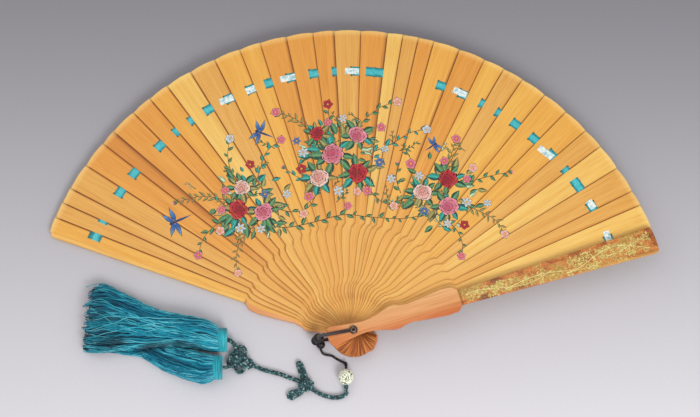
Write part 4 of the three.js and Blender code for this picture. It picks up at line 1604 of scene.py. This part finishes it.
def paint_vine():
    """A scrolling gold vine that fills a guard's blade, in the guard's own run and width."""
    brush = Brush(41)
    rng = brush.rng
    clump_count, flower_count, dot_count = 44, 13, 850

    def spot(u, share):
        """From the lower edge, 0, to the upper border of the pattern, 1."""
        half = GUARD_BLADE_START[1] + GUARD_SLOPE * (u - GUARD_BLADE_START[0])
        low, high = -half + 0.9, half - 3.0
        return Vector((u, low + (high - low) * share))

    gold, pale = PAINTS["gold"], (250, 226, 150)
    clumps = [rng.uniform(78, 208) for _ in range(clump_count)]
    for phase, sway, middle, start, end in (
        (0.4, 0.34, 0.5, 77, 140), (2.6, 0.22, 0.34, 104, 172), (4.0, 0.36, 0.5, 146, 208),
        (1.2, 0.2, 0.66, 176, 209),
    ):
        line = brush.stem(
            [spot(u, middle + sway * sin(u / 11 + phase)) for u in range(start, end, 4)],
            0.45, pale, 5,
        )
        for i in range(1, len(line) - 1):
            ahead = line[i + 1] - line[i - 1]
            heading = atan2(ahead.y, ahead.x)
            for way in (1, -1):
                if rng.random() < 0.8:
                    length = rng.uniform(1.6, 3.0)
                    turn = heading + way * rng.uniform(0.5, 1.2)
                    brush.petal(line[i].to_2d(), turn, length, length * 0.36, gold, 2, pointed,
                                (3, 2))
    for u in clumps:
        share = rng.uniform(0.1, 0.9)
        for _ in range(9):
            centre = spot(u + rng.gauss(0, 2.2), min(1, max(0, share + rng.gauss(0, 0.2))))
            for j in range(4):
                heading = 1.57 * j + rng.uniform(-0.4, 0.4)
                brush.petal(centre, heading, rng.uniform(0.9, 1.6), 0.8,
                            (gold[rng.randint(0, 1)], rng.choice((gold[1], pale, pale))), 3,
                            pointed, (2, 2))
    for k in range(flower_count):
        u = 82 + k * 10 + rng.uniform(-2, 2)
        centre = spot(u, 0.3 + 0.4 * (k % 2) + rng.uniform(-0.12, 0.12))
        for j in range(5):
            brush.petal(centre, 1.257 * j + k, rng.uniform(1.9, 2.5), 1.6, (gold[0], pale), 4,
                        rounded, (3, 2))
    for _ in range(dot_count):
        u = rng.uniform(77, 209)
        centre = spot(u, rng.uniform(0.0, 1.0))
        brush.petal(centre, rng.uniform(*ANY_HEADING), rng.uniform(0.5, 1.1), 0.45, gold, 2, rounded,
                    (2, 2))
    return brush.all_coats()


def lay_vine_on_guards():
    finish = paint_finish("gold_paint", 0.38)
    vine = paint_vine()
    for name, body, angle, level, under in (
        ("gold_vine_on_front_guard", "front_side", FRONT_ANGLE, FRONT_GUARD_TOP + OVER_GUARD, False),
        ("gold_vine_on_rear_guard", "rear_side", REAR_ANGLE, -OVER_GUARD, True),
    ):
        bm = vine.copy()
        lift(bm, OVER_GUARD)
        close_paint(bm)
        if under:
            bmesh.ops.scale(bm, vec=(1, -1, 1), verts=bm.verts)
            bmesh.ops.scale(bm, vec=(1, 1, -1), verts=bm.verts)
        swing(bm, angle)
        lift(bm, level)
        face_outward(bm)
        settled(shape(name, bm, finish), body, "guard")
    vine.free()


set_up_camera()
set_up_studio()
hang_cords()
dress_sticks()
dress_guards()
dress_rivet()
dress_bail()
lace_ribbon()
lay_paint_on_sticks()
lay_vine_on_guards()
